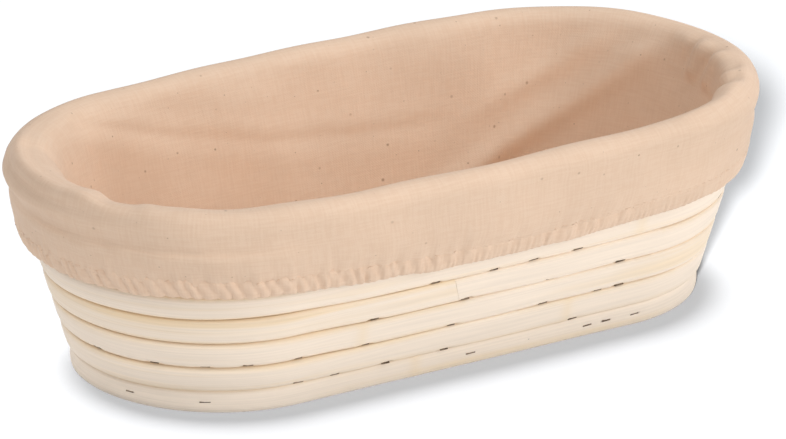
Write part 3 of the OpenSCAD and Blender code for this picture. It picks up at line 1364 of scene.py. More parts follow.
    def build(self) -> list[Piece]:
        """Builds and dresses the lengths of cane.

        Returns:
            The pieces, from the base to the rim.
        """
        material = self.finish.make()
        made = []
        for cane in self.lengths():
            ts, _ = self.path.even_turns(cane.start, cane.end, self.ring_spacing)
            piece = shaped_grid(
                cane.name + "_coil",
                len(ts) - 1,
                self.sides,
                lambda along, across, cane=cane: self.shape(cane, along, across),
                closed=True,
            )
            smooth(piece, self.crease)
            dress(piece, material, Body.BASKET, [cane.name + "_cane"])
            made.append(piece)
        return made


@dataclass
class Staples:
    """Wire staples, sunk in the cane, that tie each turn to the one before it."""

    coil: CaneCoil
    finish: WireFinish
    width: float = 3.9
    wire: float = 0.45
    crown: float = 0.6
    leg: float = 3.0
    edge: float = 0.12
    sink: float = 0.32
    sink_change: float = 0.14
    shortest: float = 0.75
    twist: float = math.radians(6)
    seed: int = 71

    def template(self) -> Piece:
        """Models one staple.

        Returns:
            The staple, with its crown along y and its legs along -x.
        """
        deselect_all()
        bpy.ops.mesh.primitive_cube_add(size=1.0)
        piece = bpy.context.object
        bpy.ops.object.mode_set(mode="EDIT")
        bpy.ops.transform.resize(value=(self.crown * MM, self.width * MM, self.wire * MM))
        inner = (self.width / 2 - self.wire) * MM
        for side in (-inner, inner):
            bpy.ops.mesh.select_all(action="SELECT")
            bpy.ops.mesh.bisect(plane_co=(0.0, side, 0.0), plane_no=(0.0, 1.0, 0.0))
        select_faces(piece, lambda face: face.normal.x < -0.5 and abs(face.center.y) > inner)
        bpy.ops.mesh.extrude_region_move(TRANSFORM_OT_translate={"value": (-self.leg * MM, 0.0, 0.0)})
        select_faces(piece, lambda face: face.normal.x > 0.5)
        bpy.ops.mesh.region_to_loop()
        bpy.ops.mesh.bevel(offset=self.edge * MM, segments=1, affect="EDGES")
        bpy.ops.object.mode_set(mode="OBJECT")
        return piece

    def place(self, t: float, rng: np.random.Generator) -> Matrix:
        """Places one staple with its crown in its slot, a little uneven.

        Args:
            t: its turn.
            rng: source of the unevenness.

        Returns:
            Its place.
        """
        path = self.coil.path
        at, step = np.array(t), 0.002
        angle, facing = self.coil.plan.crown(t)
        d, h, _ = self.coil.section(at, np.array(angle))
        origin = path.point(at, d, h)
        ahead = unit(path.point(at + step, d, h) - path.point(at - step, d, h))
        outward = path.point(at, d + math.cos(facing), h + math.sin(facing)) - origin
        outward = unit(outward - ahead * (outward @ ahead))
        turned = rng.uniform(-self.twist, self.twist)
        ahead = ahead * math.cos(turned) + np.cross(outward, ahead) * math.sin(turned)
        sink = self.sink + rng.uniform(-self.sink_change, self.sink_change)
        place = frame_matrix(origin - outward * sink, outward, ahead)
        return place @ Matrix.Diagonal((1.0, rng.uniform(self.shortest, 1.0), 1.0, 1.0))

    def build(self) -> list[Piece]:
        """Builds and dresses the staples.

        Returns:
            One piece for each length of cane.
        """
        material = self.finish.make()
        template = self.template()
        rng = np.random.default_rng(self.seed)
        made = []
        for cane in self.coil.lengths():
            places = [self.place(t, rng) for t in self.coil.plan.turns(cane)]
            piece = copies(template, places, cane.name + "_staple_set")
            dress(piece, material, Body.BASKET, [cane.name + "_staples"])
            made.append(piece)
        bpy.data.objects.remove(template)
        return made


@dataclass
class LinerSection:
    """Section of the liner from the floor up the inside, over the rim and down to the hem.

    Distances d are out of the line of cane centres. What is worked out is the section's points, the length
    up to each, its whole length, and the lengths at which the wall and the roll over the rim start and end.
    """

    oval: OvalForm
    floor_z: float = 9.3
    floor_overlap: float = 7.0
    foot_round: float = 6.0
    inside_d: float = -5.5
    rim_inner_r: float = 5.5
    rim_outer_r: float = 5.8
    hem_d: float = 7.7
    fullness: float = 2.2
    # Share of the cuff's drop at which it starts, and the power that moves its belly down
    drop_start: float = 0.02
    belly_power: float = 1.3
    hem_top: float = 48.5
    foot_steps: int = 14
    wall_steps: int = 30
    rim_steps: int = 40
    line: Array = field(init=False)
    lengths: Array = field(init=False)
    length: float = field(init=False)
    wall_start: float = field(init=False)
    roll_start: float = field(init=False)
    roll_end: float = field(init=False)

    def __post_init__(self) -> None:
        """Works out the section."""
        foot, roll = self.foot(), self.roll()
        roll_z, join = roll[1], 1.0
        wall_top = self.rim()[1] - self.inside_d * math.sin(self.oval.lean)
        inside_z = np.linspace(foot[1][-1] + join, wall_top - join, self.wall_steps)
        inside = self.oval.out_at(inside_z, self.inside_d), inside_z

        drop = np.linspace(self.drop_start, 1.0, self.rim_steps)
        drop_z = roll_z[-1] + drop * (self.hem_top - roll_z[-1])
        belly = self.fullness * np.sin(math.pi * drop**self.belly_power)
        drop_d = self.rim_outer_r + drop * (self.hem_d - self.rim_outer_r) + belly
        cuff = self.oval.out_at(drop_z, drop_d), drop_z

        parts = [np.stack(part, axis=1) for part in (foot, inside, roll, cuff)]
        self.line = np.concatenate(parts)
        steps = np.linalg.norm(np.diff(self.line, axis=0), axis=1)
        self.lengths = np.concatenate([[0.0], np.cumsum(steps)])
        self.length = float(self.lengths[-1])
        ends = np.cumsum([len(part) for part in parts]) - 1
        self.wall_start, self.roll_start, self.roll_end = (float(self.lengths[end]) for end in ends[:3])

    def rim(self) -> tuple[Array, Array]:
        """Distance outwards and height of the rim cane's centre."""
        return self.oval.wall_point(np.array(self.oval.wall_slope), 0.0)

    def foot(self) -> tuple[Array, Array]:
        """Finds the overlap on the floor and the round at the foot of the wall.

        Returns:
            Distances outwards and heights.
        """
        lean = self.oval.lean
        sweep = np.linspace(-math.pi / 2, -lean, self.foot_steps)
        tangent = self.foot_round * math.tan((math.pi / 2 - lean) / 2)
        middle = self.oval.out_at(self.floor_z, self.inside_d) - tangent
        out = middle + self.foot_round * np.cos(sweep)
        z = self.floor_z + self.foot_round * (1 + np.sin(sweep))
        return np.insert(out, 0, middle - self.floor_overlap), np.insert(z, 0, self.floor_z)

    def roll(self) -> tuple[Array, Array]:
        """Finds the roll over the rim.

        Returns:
            Distances outwards and heights.
        """
        share = np.linspace(0.0, 1.0, self.rim_steps)
        angle = math.pi - self.oval.lean - share * math.pi
        radius = self.rim_inner_r + (self.rim_outer_r - self.rim_inner_r) * ease(share)
        rim_out, rim_z = self.rim()
        return rim_out + radius * np.cos(angle), rim_z + radius * np.sin(angle)

    def point(self, length: Array) -> Array:
        """Distance outwards and height at distances along the section."""
        return np.stack([np.interp(length, self.lengths, self.line[:, i]) for i in (0, 1)], axis=-1)

    def at(self, length: Array) -> tuple[Array, Array, Array, Array]:
        """Finds points of the section.

        Args:
            length: distances along the section from its start on the floor.

        Returns:
            Distances outwards, heights, and the two parts of the direction out of the cloth's face.
        """
        step = 0.8
        middle = self.point(length)
        along = unit(self.point(length + step) - self.point(length - step))
        return middle[..., 0], middle[..., 1], -along[..., 1], along[..., 0]


@dataclass
class Hem:
    """The gathered hem: ridges of cloth drawn up by elastic, that fade out towards the right."""

    oval: OvalForm
    around: int = 24
    along: int = 2400
    crease: float = 80.0
    bottom: float = 42.9
    top: float = 50.7
    middle_d: float = 7.15
    half_depth: float = 1.55
    squareness: float = 2.6
    # Share of its depth that the hem loses where it isn't gathered
    plain_loss: float = 0.35
    # How far the hem has ridden up at either end, and where
    left_rise: float = 3.4
    left: Stretch = Stretch(0.34, 0.46, 0.12, 0.16)
    right_rise: float = 2.0
    right: Stretch = Stretch(0.78, 0.88, 0.12)
    # How much closer the hem grips the cane at the left end, and the place and width of that
    left_grip: float = 0.7
    grip_place: tuple[float, float] = (0.35, 0.09)
    # Where the hem is gathered: in front, and along the back, about a middle
    least_gathered: float = 0.14
    front: Stretch = Stretch(0.34, 0.50, 0.07, 0.14)
    back: Stretch = Stretch(-0.15, 0.15, 0.06)
    back_middle: float = 0.15
    back_share: float = 0.75
    ridge_pitch: float = 4.0
    ridge_height: float = 0.95
    ridge_power: float = 1.8
    ridge_level: float = 0.45
    ridge_change: Waves = Waves(0.22, 40, 0.0, 5)
    # Lean of the ridges in ridges: all round, and more along the front
    least_lean: float = 0.1
    front_lean: float = 0.30
    leaning: Stretch = Stretch(0.42, 0.98, 0.06)
    # How the lean goes up a ridge: straight, and in a curl
    lean_rise: float = 1.2
    lean_curl: float = 0.25
    edge_change: float = 0.15
    upper_edge_share: float = 0.6
    sway: Waves = Waves(0.25, 30, 0.0, 8)
    # Soft pleats that run from the cuff into the hem, and a fine crimp at its lower edge
    pleat_stretch: Stretch = Stretch(0.46, 0.68, 0.08)
    pleat: Waves = Waves(0.4, 115, 0.8, 17)
    crimp_stretch: Stretch = Stretch(0.52, 0.76, 0.06)
    crimp: Waves = Waves(0.16, 260, 0.0, 19)
    # Levels on the section, from -1 to 1, over which pleats, crimp and the outer face come in or end
    pleat_levels: tuple[float, float] = (-1.2, 0.4)
    crimp_levels: tuple[float, float] = (-0.5, 0.45)
    outer_levels: tuple[float, float] = (-0.35, 0.35)

    def rise(self, turn: Array) -> Array:
        """How far the hem has ridden up."""
        return self.left_rise * self.left(turn) + self.right_rise * self.right(turn)

    def gathered(self, turn: Array) -> Array:
        """How strongly the hem is gathered: most from the left end to the middle of the front."""
        most = self.front(turn) + self.back_share * self.back(apart(turn, self.back_middle))
        return self.least_gathered + (1.0 - self.least_gathered) * np.clip(most, 0.0, 1.0)

    def ridge(self, turn: Array, share: Array, z: Array) -> Array:
        """Finds the rounded ridges, with sharp valleys between them.

        Args:
            turn: places round the basket.
            share: shares of the way round the hem.
            z: heights.

        Returns:
            Heights of the ridges, from 0 to 1.
        """
        count = round(self.oval.girth / self.ridge_pitch)
        lean = self.front_lean * self.leaning(turn) + self.least_lean
        level = (z - self.bottom) / (self.top - self.bottom) - 0.5
        slant = lean * (self.lean_rise * level + self.lean_curl * np.sin(TAU * level))
        position = (count * share + self.ridge_change(share) + slant) % 1.0
        return 1.0 - np.abs(2.0 * position - 1.0) ** self.ridge_power

    def pleats(self, turn: Array, share: Array, across: Array | float) -> Array:
        """Soft pleats that run from the cuff into the hem, where the hem lies plainer."""
        return self.pleat_stretch(turn) * self.pleat(share, across)

    def shape(self, along: Array, across: Array) -> Shaped:
        """Rolls a grid up into the hem.

        Args:
            along: shares of the way round the basket.
            across: shares of the way round the hem's section.

        Returns:
            The points.
        """
        share = along % 1.0
        turn = self.oval.even_turn(share)
        d, h = rounded_square(even_angle(across, self.squareness), self.squareness)
        z = (self.bottom + self.top) / 2 + h * (self.top - self.bottom) / 2
        gathered = self.gathered(turn)
        ridge = gathered * (self.ridge(turn, share, z) - self.ridge_level)
        swell = self.ridge_height * ridge
        swell += self.pleats(turn, share, 1.0) * ramp(*self.pleat_levels, h)
        swell += self.crimp_stretch(turn) * self.crimp(share) * (1.0 - ramp(*self.crimp_levels, h))

        outer = ramp(*self.outer_levels, d)
        edge = self.edge_change * ridge * np.where(h < 0, -1.0, self.upper_edge_share) * np.abs(h)
        z = z + self.rise(turn) + self.sway(share) + edge
        depth = self.half_depth * (1.0 - self.plain_loss * (1.0 - gathered) * outer)
        middle = self.middle_d - self.left_grip * near(turn, *self.grip_place)
        points = self.oval.place(turn, self.oval.out_at(z, middle + d * depth + swell * outer), z)
        loop = 2 * (self.top - self.bottom) + 4 * self.half_depth
        return Shaped(points, np.stack([along * self.oval.girth, across * loop], axis=-1))

    def build(self, material: Material) -> Piece:
        """Builds and dresses the hem."""
        piece = shaped_grid("gathered_hem", self.along, self.around, self.shape, closed=True)
        smooth(piece, self.crease)
        dress(piece, material, Body.LINER, ["hem_casing", "hem_elastic"])
        return piece


@dataclass(frozen=True)
class RimFold:
    """A fold on the inner side of the rim, with a valley beside it. Lengths are in millimetres.

    It starts below the roll over the rim and reaches on to it, and fades out at either end.
    """

    place: float
    width: float
    height: float
    slant: float
    below: float = 10.0
    reach: float = 8.0
    fade: float = 6.0
    valley: float = 0.8
    valley_at: float = 1.5

    def stand(self, turn: Array, girth: float, past_rim: Array) -> Array:
        """Finds how far the fold stands off.

        Args:
            turn: places round the basket.
            girth: length round it.
            past_rim: distances along the section from the start of the roll over the rim.

        Returns:
            Heights.
        """
        off = apart(turn, self.place) * girth + self.slant * past_rim
        beside = hump(off - self.valley_at * self.width, self.valley * self.width)
        ridge = hump(off, self.width) - self.valley * beside
        return self.height * ridge * Stretch(-self.below, self.reach, self.fade)(past_rim)


@dataclass(frozen=True)
class Shoulder:
    """How the cloth stands off the wall below the rim: most at the left end, least at the right end."""

    height: float = 1.4
    left_more: float = 4.4
    right_less: float = 1.2
    left: float = 0.36
    left_to_back: float = 0.09
    left_to_front: float = 0.14
    right: tuple[float, float] = (0.86, 0.12)
    lead: float = 7.0
    depth: float = 15.0
    fall: float = 1.5

    def stand(self, turn: Array, below_rim: Array) -> Array:
        """Finds how far the shoulder stands off.

        Args:
            turn: places round the basket.
            below_rim: distances below the start of the roll over the rim.

        Returns:
            Heights.
        """
        from_left = apart(turn, self.left)
        left = hump(from_left, np.where(from_left < 0.0, self.left_to_back, self.left_to_front))
        height = self.height + self.left_more * left - self.right_less * near(turn, *self.right)
        down = np.maximum(below_rim + self.lead, 0.0) / self.depth
        return height * (down * np.exp(1.0 - down)) ** self.fall


@dataclass(frozen=True)
class Drape:
    """Two folds that hang from the right end of the rim and curve down along the back of the inside."""

    place: float = 0.896
    slant: float = 0.5
    curve: float = 0.0165
    long_fold: Ridge = Ridge(4.5, 5.5, 2.9)
    short_fold: Ridge = Ridge(22.0, 5.5, 1.6)
    short_end: tuple[float, float] = (14.0, 34.0)

    def stand(self, turn: Array, girth: float, below_rim: Array) -> Array:
        """Finds how far the folds stand off.

        Args:
            turn: places round the basket.
            girth: length round it.
            below_rim: distances below the start of the roll over the rim.

        Returns:
            Heights.
        """
        deep = np.maximum(below_rim, 0.0)
        off = apart(turn, self.place) * girth - self.slant * deep - self.curve * deep**2
        off = off / np.hypot(1.0, self.slant + 2.0 * self.curve * deep)
        return self.long_fold(off) + self.short_fold(off) * (1.0 - ramp(*self.short_end, deep))


@dataclass(frozen=True)
class BackCrease:
    """A soft crease along the back of the inside, which climbs to the left."""

    stretch: Stretch = Stretch(0.06, 0.27, 0.05)
    places: tuple[float, ...] = (0.04, 0.08, 0.152, 0.219, 0.257, 0.29)
    heights: tuple[float, ...] = (44.7, 45.4, 49.9, 59.6, 67.4, 75.0)
    ridges: tuple[Ridge, ...] = (Ridge(4.0, 4.0, 0.5), Ridge(0.0, 1.8, -0.25), Ridge(-6.0, 5.0, 0.45))

    def stand(self, turn: Array, z: Array) -> Array:
        """How far the crease stands off at places round the basket and heights."""
        above = z - np.interp(turn, self.places, self.heights)
        return self.stretch(turn) * sum(ridge(above) for ridge in self.ridges)


@dataclass(frozen=True)
class SheetPlaces:
    """Places on the liner's sheet.

    turn and share say where round the basket, and length and z where along the section. past_rim is the
    distance from the start of the roll over the rim. across, roll and drop are shares of the way along the
    whole section, over the rim and down the cuff, and on_cuff is 1 on the cuff.
    """

    turn: Array
    share: Array
    length: Array
    z: Array
    past_rim: Array
    across: Array
    roll: Array
    drop: Array
    on_cuff: Array


@dataclass
class Liner:
    """The cotton liner: its floor, and one sheet up the inside, over the rim and down as a cuff."""

    section: LinerSection
    hem: Hem
    cloth: ClothFinish
    hem_cloth: ClothFinish
    thread: ThreadFinish
    thickness: float = 0.8
    along: int = 480
    across: int = 96
    floor_along: int = 240
    floor_across: int = 22
    crease: float = 80.0
    # Spare length round the basket that the gathers take up, as a share
    spare: float = 0.06
    # How far the inside may sink below its plain section
    closest: float = -0.35
    # Share of the drop over which the cuff's own creases come in, and lengths over which slack does
    cuff_blend: float = 0.15
    slack_start: tuple[float, float] = (12.0, 25.0)
    # Ends of the oval where the cuff draws in: place and width
    left_end: tuple[float, float] = (0.35, 0.11)
    right_end: tuple[float, float] = (0.83, 0.11)
    left_belly: float = 2.0
    right_belly: float = 2.2
    end_notch: float = 0.7
    notch: Ridge = Ridge(4.0, 3.2, -1.0)
    rim_roll: Ridge = Ridge(0.8, 0.25, 1.0)
    # Height of the rim's roll: all round, and more at the left and right ends
    roll_heights: tuple[float, float, float] = (0.1, 0.5, 0.1)
    # Ridges and valleys along the rim, each over a stretch of it and at a share of the way over its roll
    rim_ridges: tuple[tuple[Stretch, Ridge], ...] = (
        (Stretch(0.335, 0.40, 0.03), Ridge(0.53, 0.11, 1.7)),
        (Stretch(0.335, 0.40, 0.03), Ridge(0.76, 0.10, -1.2)),
        (Stretch(0.30, 0.37, 0.03), Ridge(0.92, 0.12, 0.8)),
        (Stretch(0.765, 0.82, 0.02), Ridge(0.48, 0.10, 0.9)),
    )
    rim_folds: tuple[RimFold, ...] = (
        RimFold(0.800, 5.5, 1.7, 0.0, below=1.0, reach=6.0),
        RimFold(0.823, 3.2, 1.3, 0.0, below=3.0, reach=4.0),
        RimFold(0.852, 3.4, 1.9, 0.3, below=5.0, reach=3.0),
        RimFold(0.871, 3.2, 1.8, 0.2, below=5.0, reach=2.0),
        RimFold(0.318, 4.5, 0.5, 0.1),
        RimFold(0.398, 5.0, 1.0, -0.2),
        RimFold(0.420, 4.0, -0.5, -0.2),
    )
    # Stretch of the right end that is drawn up under its folds, by a millimetre
    right_drawn: Stretch = Stretch(0.81, 0.88, 0.015)
    drawn_depth: Stretch = Stretch(-6.0, 2.0, 5.0)
    cuff_crease: Stretch = Stretch(0.39, 0.47, 0.04)
    cuff_ridges: tuple[Ridge, ...] = (Ridge(60.4, 2.2, 0.6), Ridge(63.2, 1.1, -0.8))
    broad_slack: Waves = Waves(0.28, 12, 3.0, 3)
    cuff_slack: Waves = Waves(0.10, 42, 7.0, 21)
    soft_folds: Waves = Waves(0.7, 9, 1.5, 13)
    fan: Waves = Waves(0.55, 130, 1.2, 9)
    fan_ridges: float = 0.5
    # Powers of the way down the cuff: where slack ends, the ends draw in most, and pleats deepen
    slack_power: int = 4
    belly_power: float = 1.25
    fan_power: float = 3.5
    pleat_power: int = 3
    shoulder: Shoulder = Shoulder()
    drape: Drape = Drape()
    back_crease: BackCrease = BackCrease()
    crease_end: float = 3.0
    # Where folds hang: from this far above the foot to this far below the rim, and their fade
    hang_above_foot: float = 10.0
    hang_below_rim: float = 8.0
    hang_fade: float = 12.0
    floor_lift: float = 0.75
    floor_inset: float = 2.0
    # Share of the way out over which the floor becomes uneven, and the power that keeps puckers out
    floor_blend: float = 0.3
    pucker_power: int = 4
    floor_pucker: Waves = Waves(0.22, 70, 0.5, 31)
    floor_sag: Waves = Waves(0.18, 5, 1.0, 33)
    stitch_length: float = 1.9
    stitch_r: float = 0.13
    stitch_pitch: float = 3.3
    stitch_sunk: float = 0.2
    stitch_sides: int = 6
    stitch_crease: float = 60.0
    # A stitch's rounded ends: how much narrower and longer they are, in radii
    stitch_taper: float = 0.45
    stitch_tip: float = 0.7
    # Distance of the stitching above the sheet's lower edge, and inside the foot of the wall
    hem_seam: float = 1.6
    floor_seam: float = 7.0

    @property
    def oval(self) -> OvalForm:
        """The basket's form, which the liner follows."""
        return self.section.oval

    def places(self, share: Array, length: Array) -> SheetPlaces:
        """Finds places on the sheet.

        Args:
            share: shares of the way round the basket.
            length: distances along the section.

        Returns:
            The places.
        """
        section = self.section
        past_rim = length - section.roll_start
        drop = np.clip((length - section.roll_end) / (section.length - section.roll_end), 0.0, 1.0)
        return SheetPlaces(
            turn=self.oval.even_turn(share),
            share=share % 1.0,
            length=length,
            z=section.at(length)[1],
            past_rim=past_rim,
            across=length / section.length,
            roll=past_rim / (section.roll_end - section.roll_start),
            drop=drop,
            on_cuff=ramp(0.0, self.cuff_blend, drop),
        )

    def slack(self, at: SheetPlaces) -> Array:
        """Small unevenness of cloth that isn't pulled tight, which ends at the hem."""
        inside_and_rim = self.broad_slack(at.share, at.across) * ramp(*self.slack_start, at.length)
        on_cuff = self.cuff_slack(at.share, at.across) * at.on_cuff
        return (inside_and_rim + on_cuff) * (1.0 - at.drop**self.slack_power)

    def rim(self, at: SheetPlaces) -> Array:
        """Finds how far the cloth stands off along the rim.

        Args:
            at: places on the sheet.

        Returns:
            Heights: a fuller roll, a notch under it at the ends, ridges along it and folds across it.
        """
        left, right = near(at.turn, *self.left_end), near(at.turn, *self.right_end)
        all_round, left_more, right_more = self.roll_heights
        stand = (all_round + left_more * left + right_more * right) * self.rim_roll(at.roll)
        stand += self.end_notch * (left + right) * self.notch(at.length - self.section.roll_end)
        stand += sum(stretch(at.turn) * ridge(at.roll) for stretch, ridge in self.rim_ridges)
        stand += self.right_drawn(at.turn) * self.drawn_depth(at.past_rim)
        return stand + sum(fold.stand(at.turn, self.oval.girth, at.past_rim) for fold in self.rim_folds)

    def cuff(self, at: SheetPlaces) -> Array:
        """Finds how far the cloth stands off on the cuff.

        Args:
            at: places on the sheet.

        Returns:
            Heights: drawn in at the ends, pleats above the hem, and a crease at the left.
        """
        left, right = near(at.turn, *self.left_end), near(at.turn, *self.right_end)
        drawn_in = self.right_belly * right + self.left_belly * left
        belly = -drawn_in * np.sin(math.pi * at.drop**self.belly_power)
        ridges = self.hem.ridge(at.turn, at.share, at.z) - 0.5
        fan = self.fan(at.share, at.across) + self.fan_ridges * ridges
        pleats = self.hem.gathered(at.turn) * fan * at.drop**self.fan_power
        pleats += self.hem.pleats(at.turn, at.share, at.across) * at.drop**self.pleat_power
        crease = self.cuff_crease(at.turn) * sum(ridge(at.z) for ridge in self.cuff_ridges)
        return at.on_cuff * (belly + pleats + crease)

    def inside(self, at: SheetPlaces) -> Array:
        """Finds how far the cloth hangs off the wall inside.

        Args:
            at: places on the sheet.

        Returns:
            Heights: a shoulder below the rim, hanging and soft folds, and a crease along the back.
        """
        section, below_rim = self.section, -at.past_rim
        low, high = section.wall_start + self.hang_above_foot, section.roll_start - self.hang_below_rim
        on_wall = Stretch(low, high, self.hang_fade)(at.length)
        hanging = self.drape.stand(at.turn, self.oval.girth, below_rim)
        hanging = hanging + self.soft_folds(at.share, at.across)
        crease = self.back_crease.stand(at.turn, at.z) * ramp(-self.crease_end, self.crease_end, below_rim)
        return self.shoulder.stand(at.turn, below_rim) + on_wall * hanging + crease

    def surface(self, share: Array, length: Array) -> Array:
        """Finds points of the middle of the cloth.

        Args:
            share: shares of the way round the basket.
            length: distances along the section.

        Returns:
            The points.
        """
        at = self.places(share, length)
        stand = self.slack(at) + self.rim(at) + self.cuff(at) + self.inside(at)
        stand = np.where(length < self.section.roll_end, np.maximum(stand, self.closest), stand)
        out, z, face_out, face_z = self.section.at(length)
        rise = self.hem.rise(at.turn) * at.drop
        out = out + stand * face_out + rise * math.tan(self.oval.lean)
        return self.oval.place(at.turn, out, z + stand * face_z + rise)

    def sheet_shape(self, along: Array, across: Array) -> Shaped:
        """Shapes a grid into the sheet, from its edge on the floor to its hem."""
        length = across * self.section.length
        return Shaped(self.surface(along, length), np.stack([along * self.oval.girth, length], axis=-1))

    def floor_shape(self, along: Array, across: Array) -> Shaped:
        """Spreads a grid out from the middle line of the floor to its edge.

        Args:
            along: shares of the way round the floor.
            across: shares of the way from the middle line to the edge.

        Returns:
            The points, mapped in plan.
        """
        share = along % 1.0
        turn = self.oval.even_turn(share)
        edge = np.full_like(turn, self.section.line[0, 0] + self.floor_inset)
        x, y, _ = self.oval.outline(turn, edge, np.zeros_like(turn))
        spine = np.clip(x, -self.oval.half_straight, self.oval.half_straight)
        uneven = self.floor_pucker(share, across) * across**self.pucker_power + self.floor_sag(share, across)
        z = self.section.floor_z + self.floor_lift + uneven * ramp(0.0, self.floor_blend, across)
        points = np.stack([spine + (x - spine) * across, y * across, z], axis=-1)
        return Shaped(points, points[:, :2])

    def stitch(self) -> Piece:
        """Models one stitch along y, with rounded ends.

        Returns:
            The stitch.
        """
        deselect_all()
        bpy.ops.mesh.primitive_cylinder_add(
            vertices=self.stitch_sides,
            radius=self.stitch_r * MM,
            depth=self.stitch_length * MM,
            rotation=(math.pi / 2, 0.0, 0.0),
        )
        piece = bpy.context.object
        bpy.ops.object.transform_apply(location=False, rotation=True, scale=False)
        bpy.ops.object.mode_set(mode="EDIT")
        select_faces(piece, lambda face: abs(face.normal.y) > 0.5)
        narrower, longer = self.stitch_taper * self.stitch_r * MM, self.stitch_tip * self.stitch_r * MM
        bpy.ops.mesh.inset(thickness=narrower, depth=longer, use_individual=True)
        bpy.ops.object.mode_set(mode="OBJECT")
        return piece

    def stitch_row(self, length: float, name: str, template: Piece) -> Piece:
        """Sews a row of stitches round the sheet, on the face that shows.

        Args:
            length: distance of the row along the section.
            name: name of the row.
            template: one stitch.

        Returns:
            The row.
        """
        count = round(self.oval.girth / self.stitch_pitch)
        share = np.arange(count) / count
        at = np.full(count, length)
        step, reach = 0.4 / self.oval.girth, 0.5
        ahead = unit(self.surface(share + step, at) - self.surface(share - step, at))
        across = self.surface(share, at + reach) - self.surface(share, at - reach)
        outward = unit(np.cross(across, ahead))
        middle = self.surface(share, at) + outward * (self.thickness / 2 - self.stitch_sunk * self.stitch_r)
        piece = copies(template, [frame_matrix(*place) for place in zip(middle, outward, ahead)], name)
        smooth(piece, self.stitch_crease)
        return piece

    def build(self, rests_on: Sequence[Piece]) -> list[Piece]:
        """Builds and dresses the liner.

        Args:
            rests_on: lengths of cane that the liner lies on, from the base; not used.

        Returns:
            The pieces.
        """
        cotton, gathered, thread = self.cloth.make(), self.hem_cloth.make(), self.thread.make()
        sheet = shaped_grid("liner_cloth", self.along, self.across, self.sheet_shape)
        floor = shaped_grid("liner_floor", self.floor_along, self.floor_across, self.floor_shape)
        for piece, nodes in ((sheet, ["liner_side_band", "liner_cuff"]), (floor, ["liner_base_panel"])):
            thicken(piece, self.thickness)
            smooth(piece, self.crease)
            dress(piece, cotton, Body.LINER, nodes)
        hem = self.hem.build(gathered)

        section, template = self.section, self.stitch()
        seams = {
            "hem_stitching": section.length - self.hem_seam,
            "floor_stitching": section.wall_start - self.floor_seam,
        }
        rows = [self.stitch_row(length, name, template) for name, length in seams.items()]
        bpy.data.objects.remove(template)
        for row in rows:
            dress(row, thread, Body.LINER)

        self.oval.girth * (1.0 + self.spare) * MM
        return [sheet, floor, hem, *rows]


class Lit(Enum):
    """What a lamp lights, as the floor's state in the lamp's list."""

    OBJECT = "EXCLUDE"
    FLOOR = "INCLUDE"


@dataclass(frozen=True)
class LampPlan:
    """A lamp: a round soft box for the object, or a soft sun that casts its shadow on the floor.

    The place is in metres, and softness is a soft box's width in metres or a sun's width as an angle. Where
    low is set, only the lowest lengths of cane cast the shadow, so that it stays close to the foot.
    """

    name: str
    place: tuple[float, float, float]
    power: float
    softness: float
    lit: Lit = Lit.OBJECT
    low: bool = False


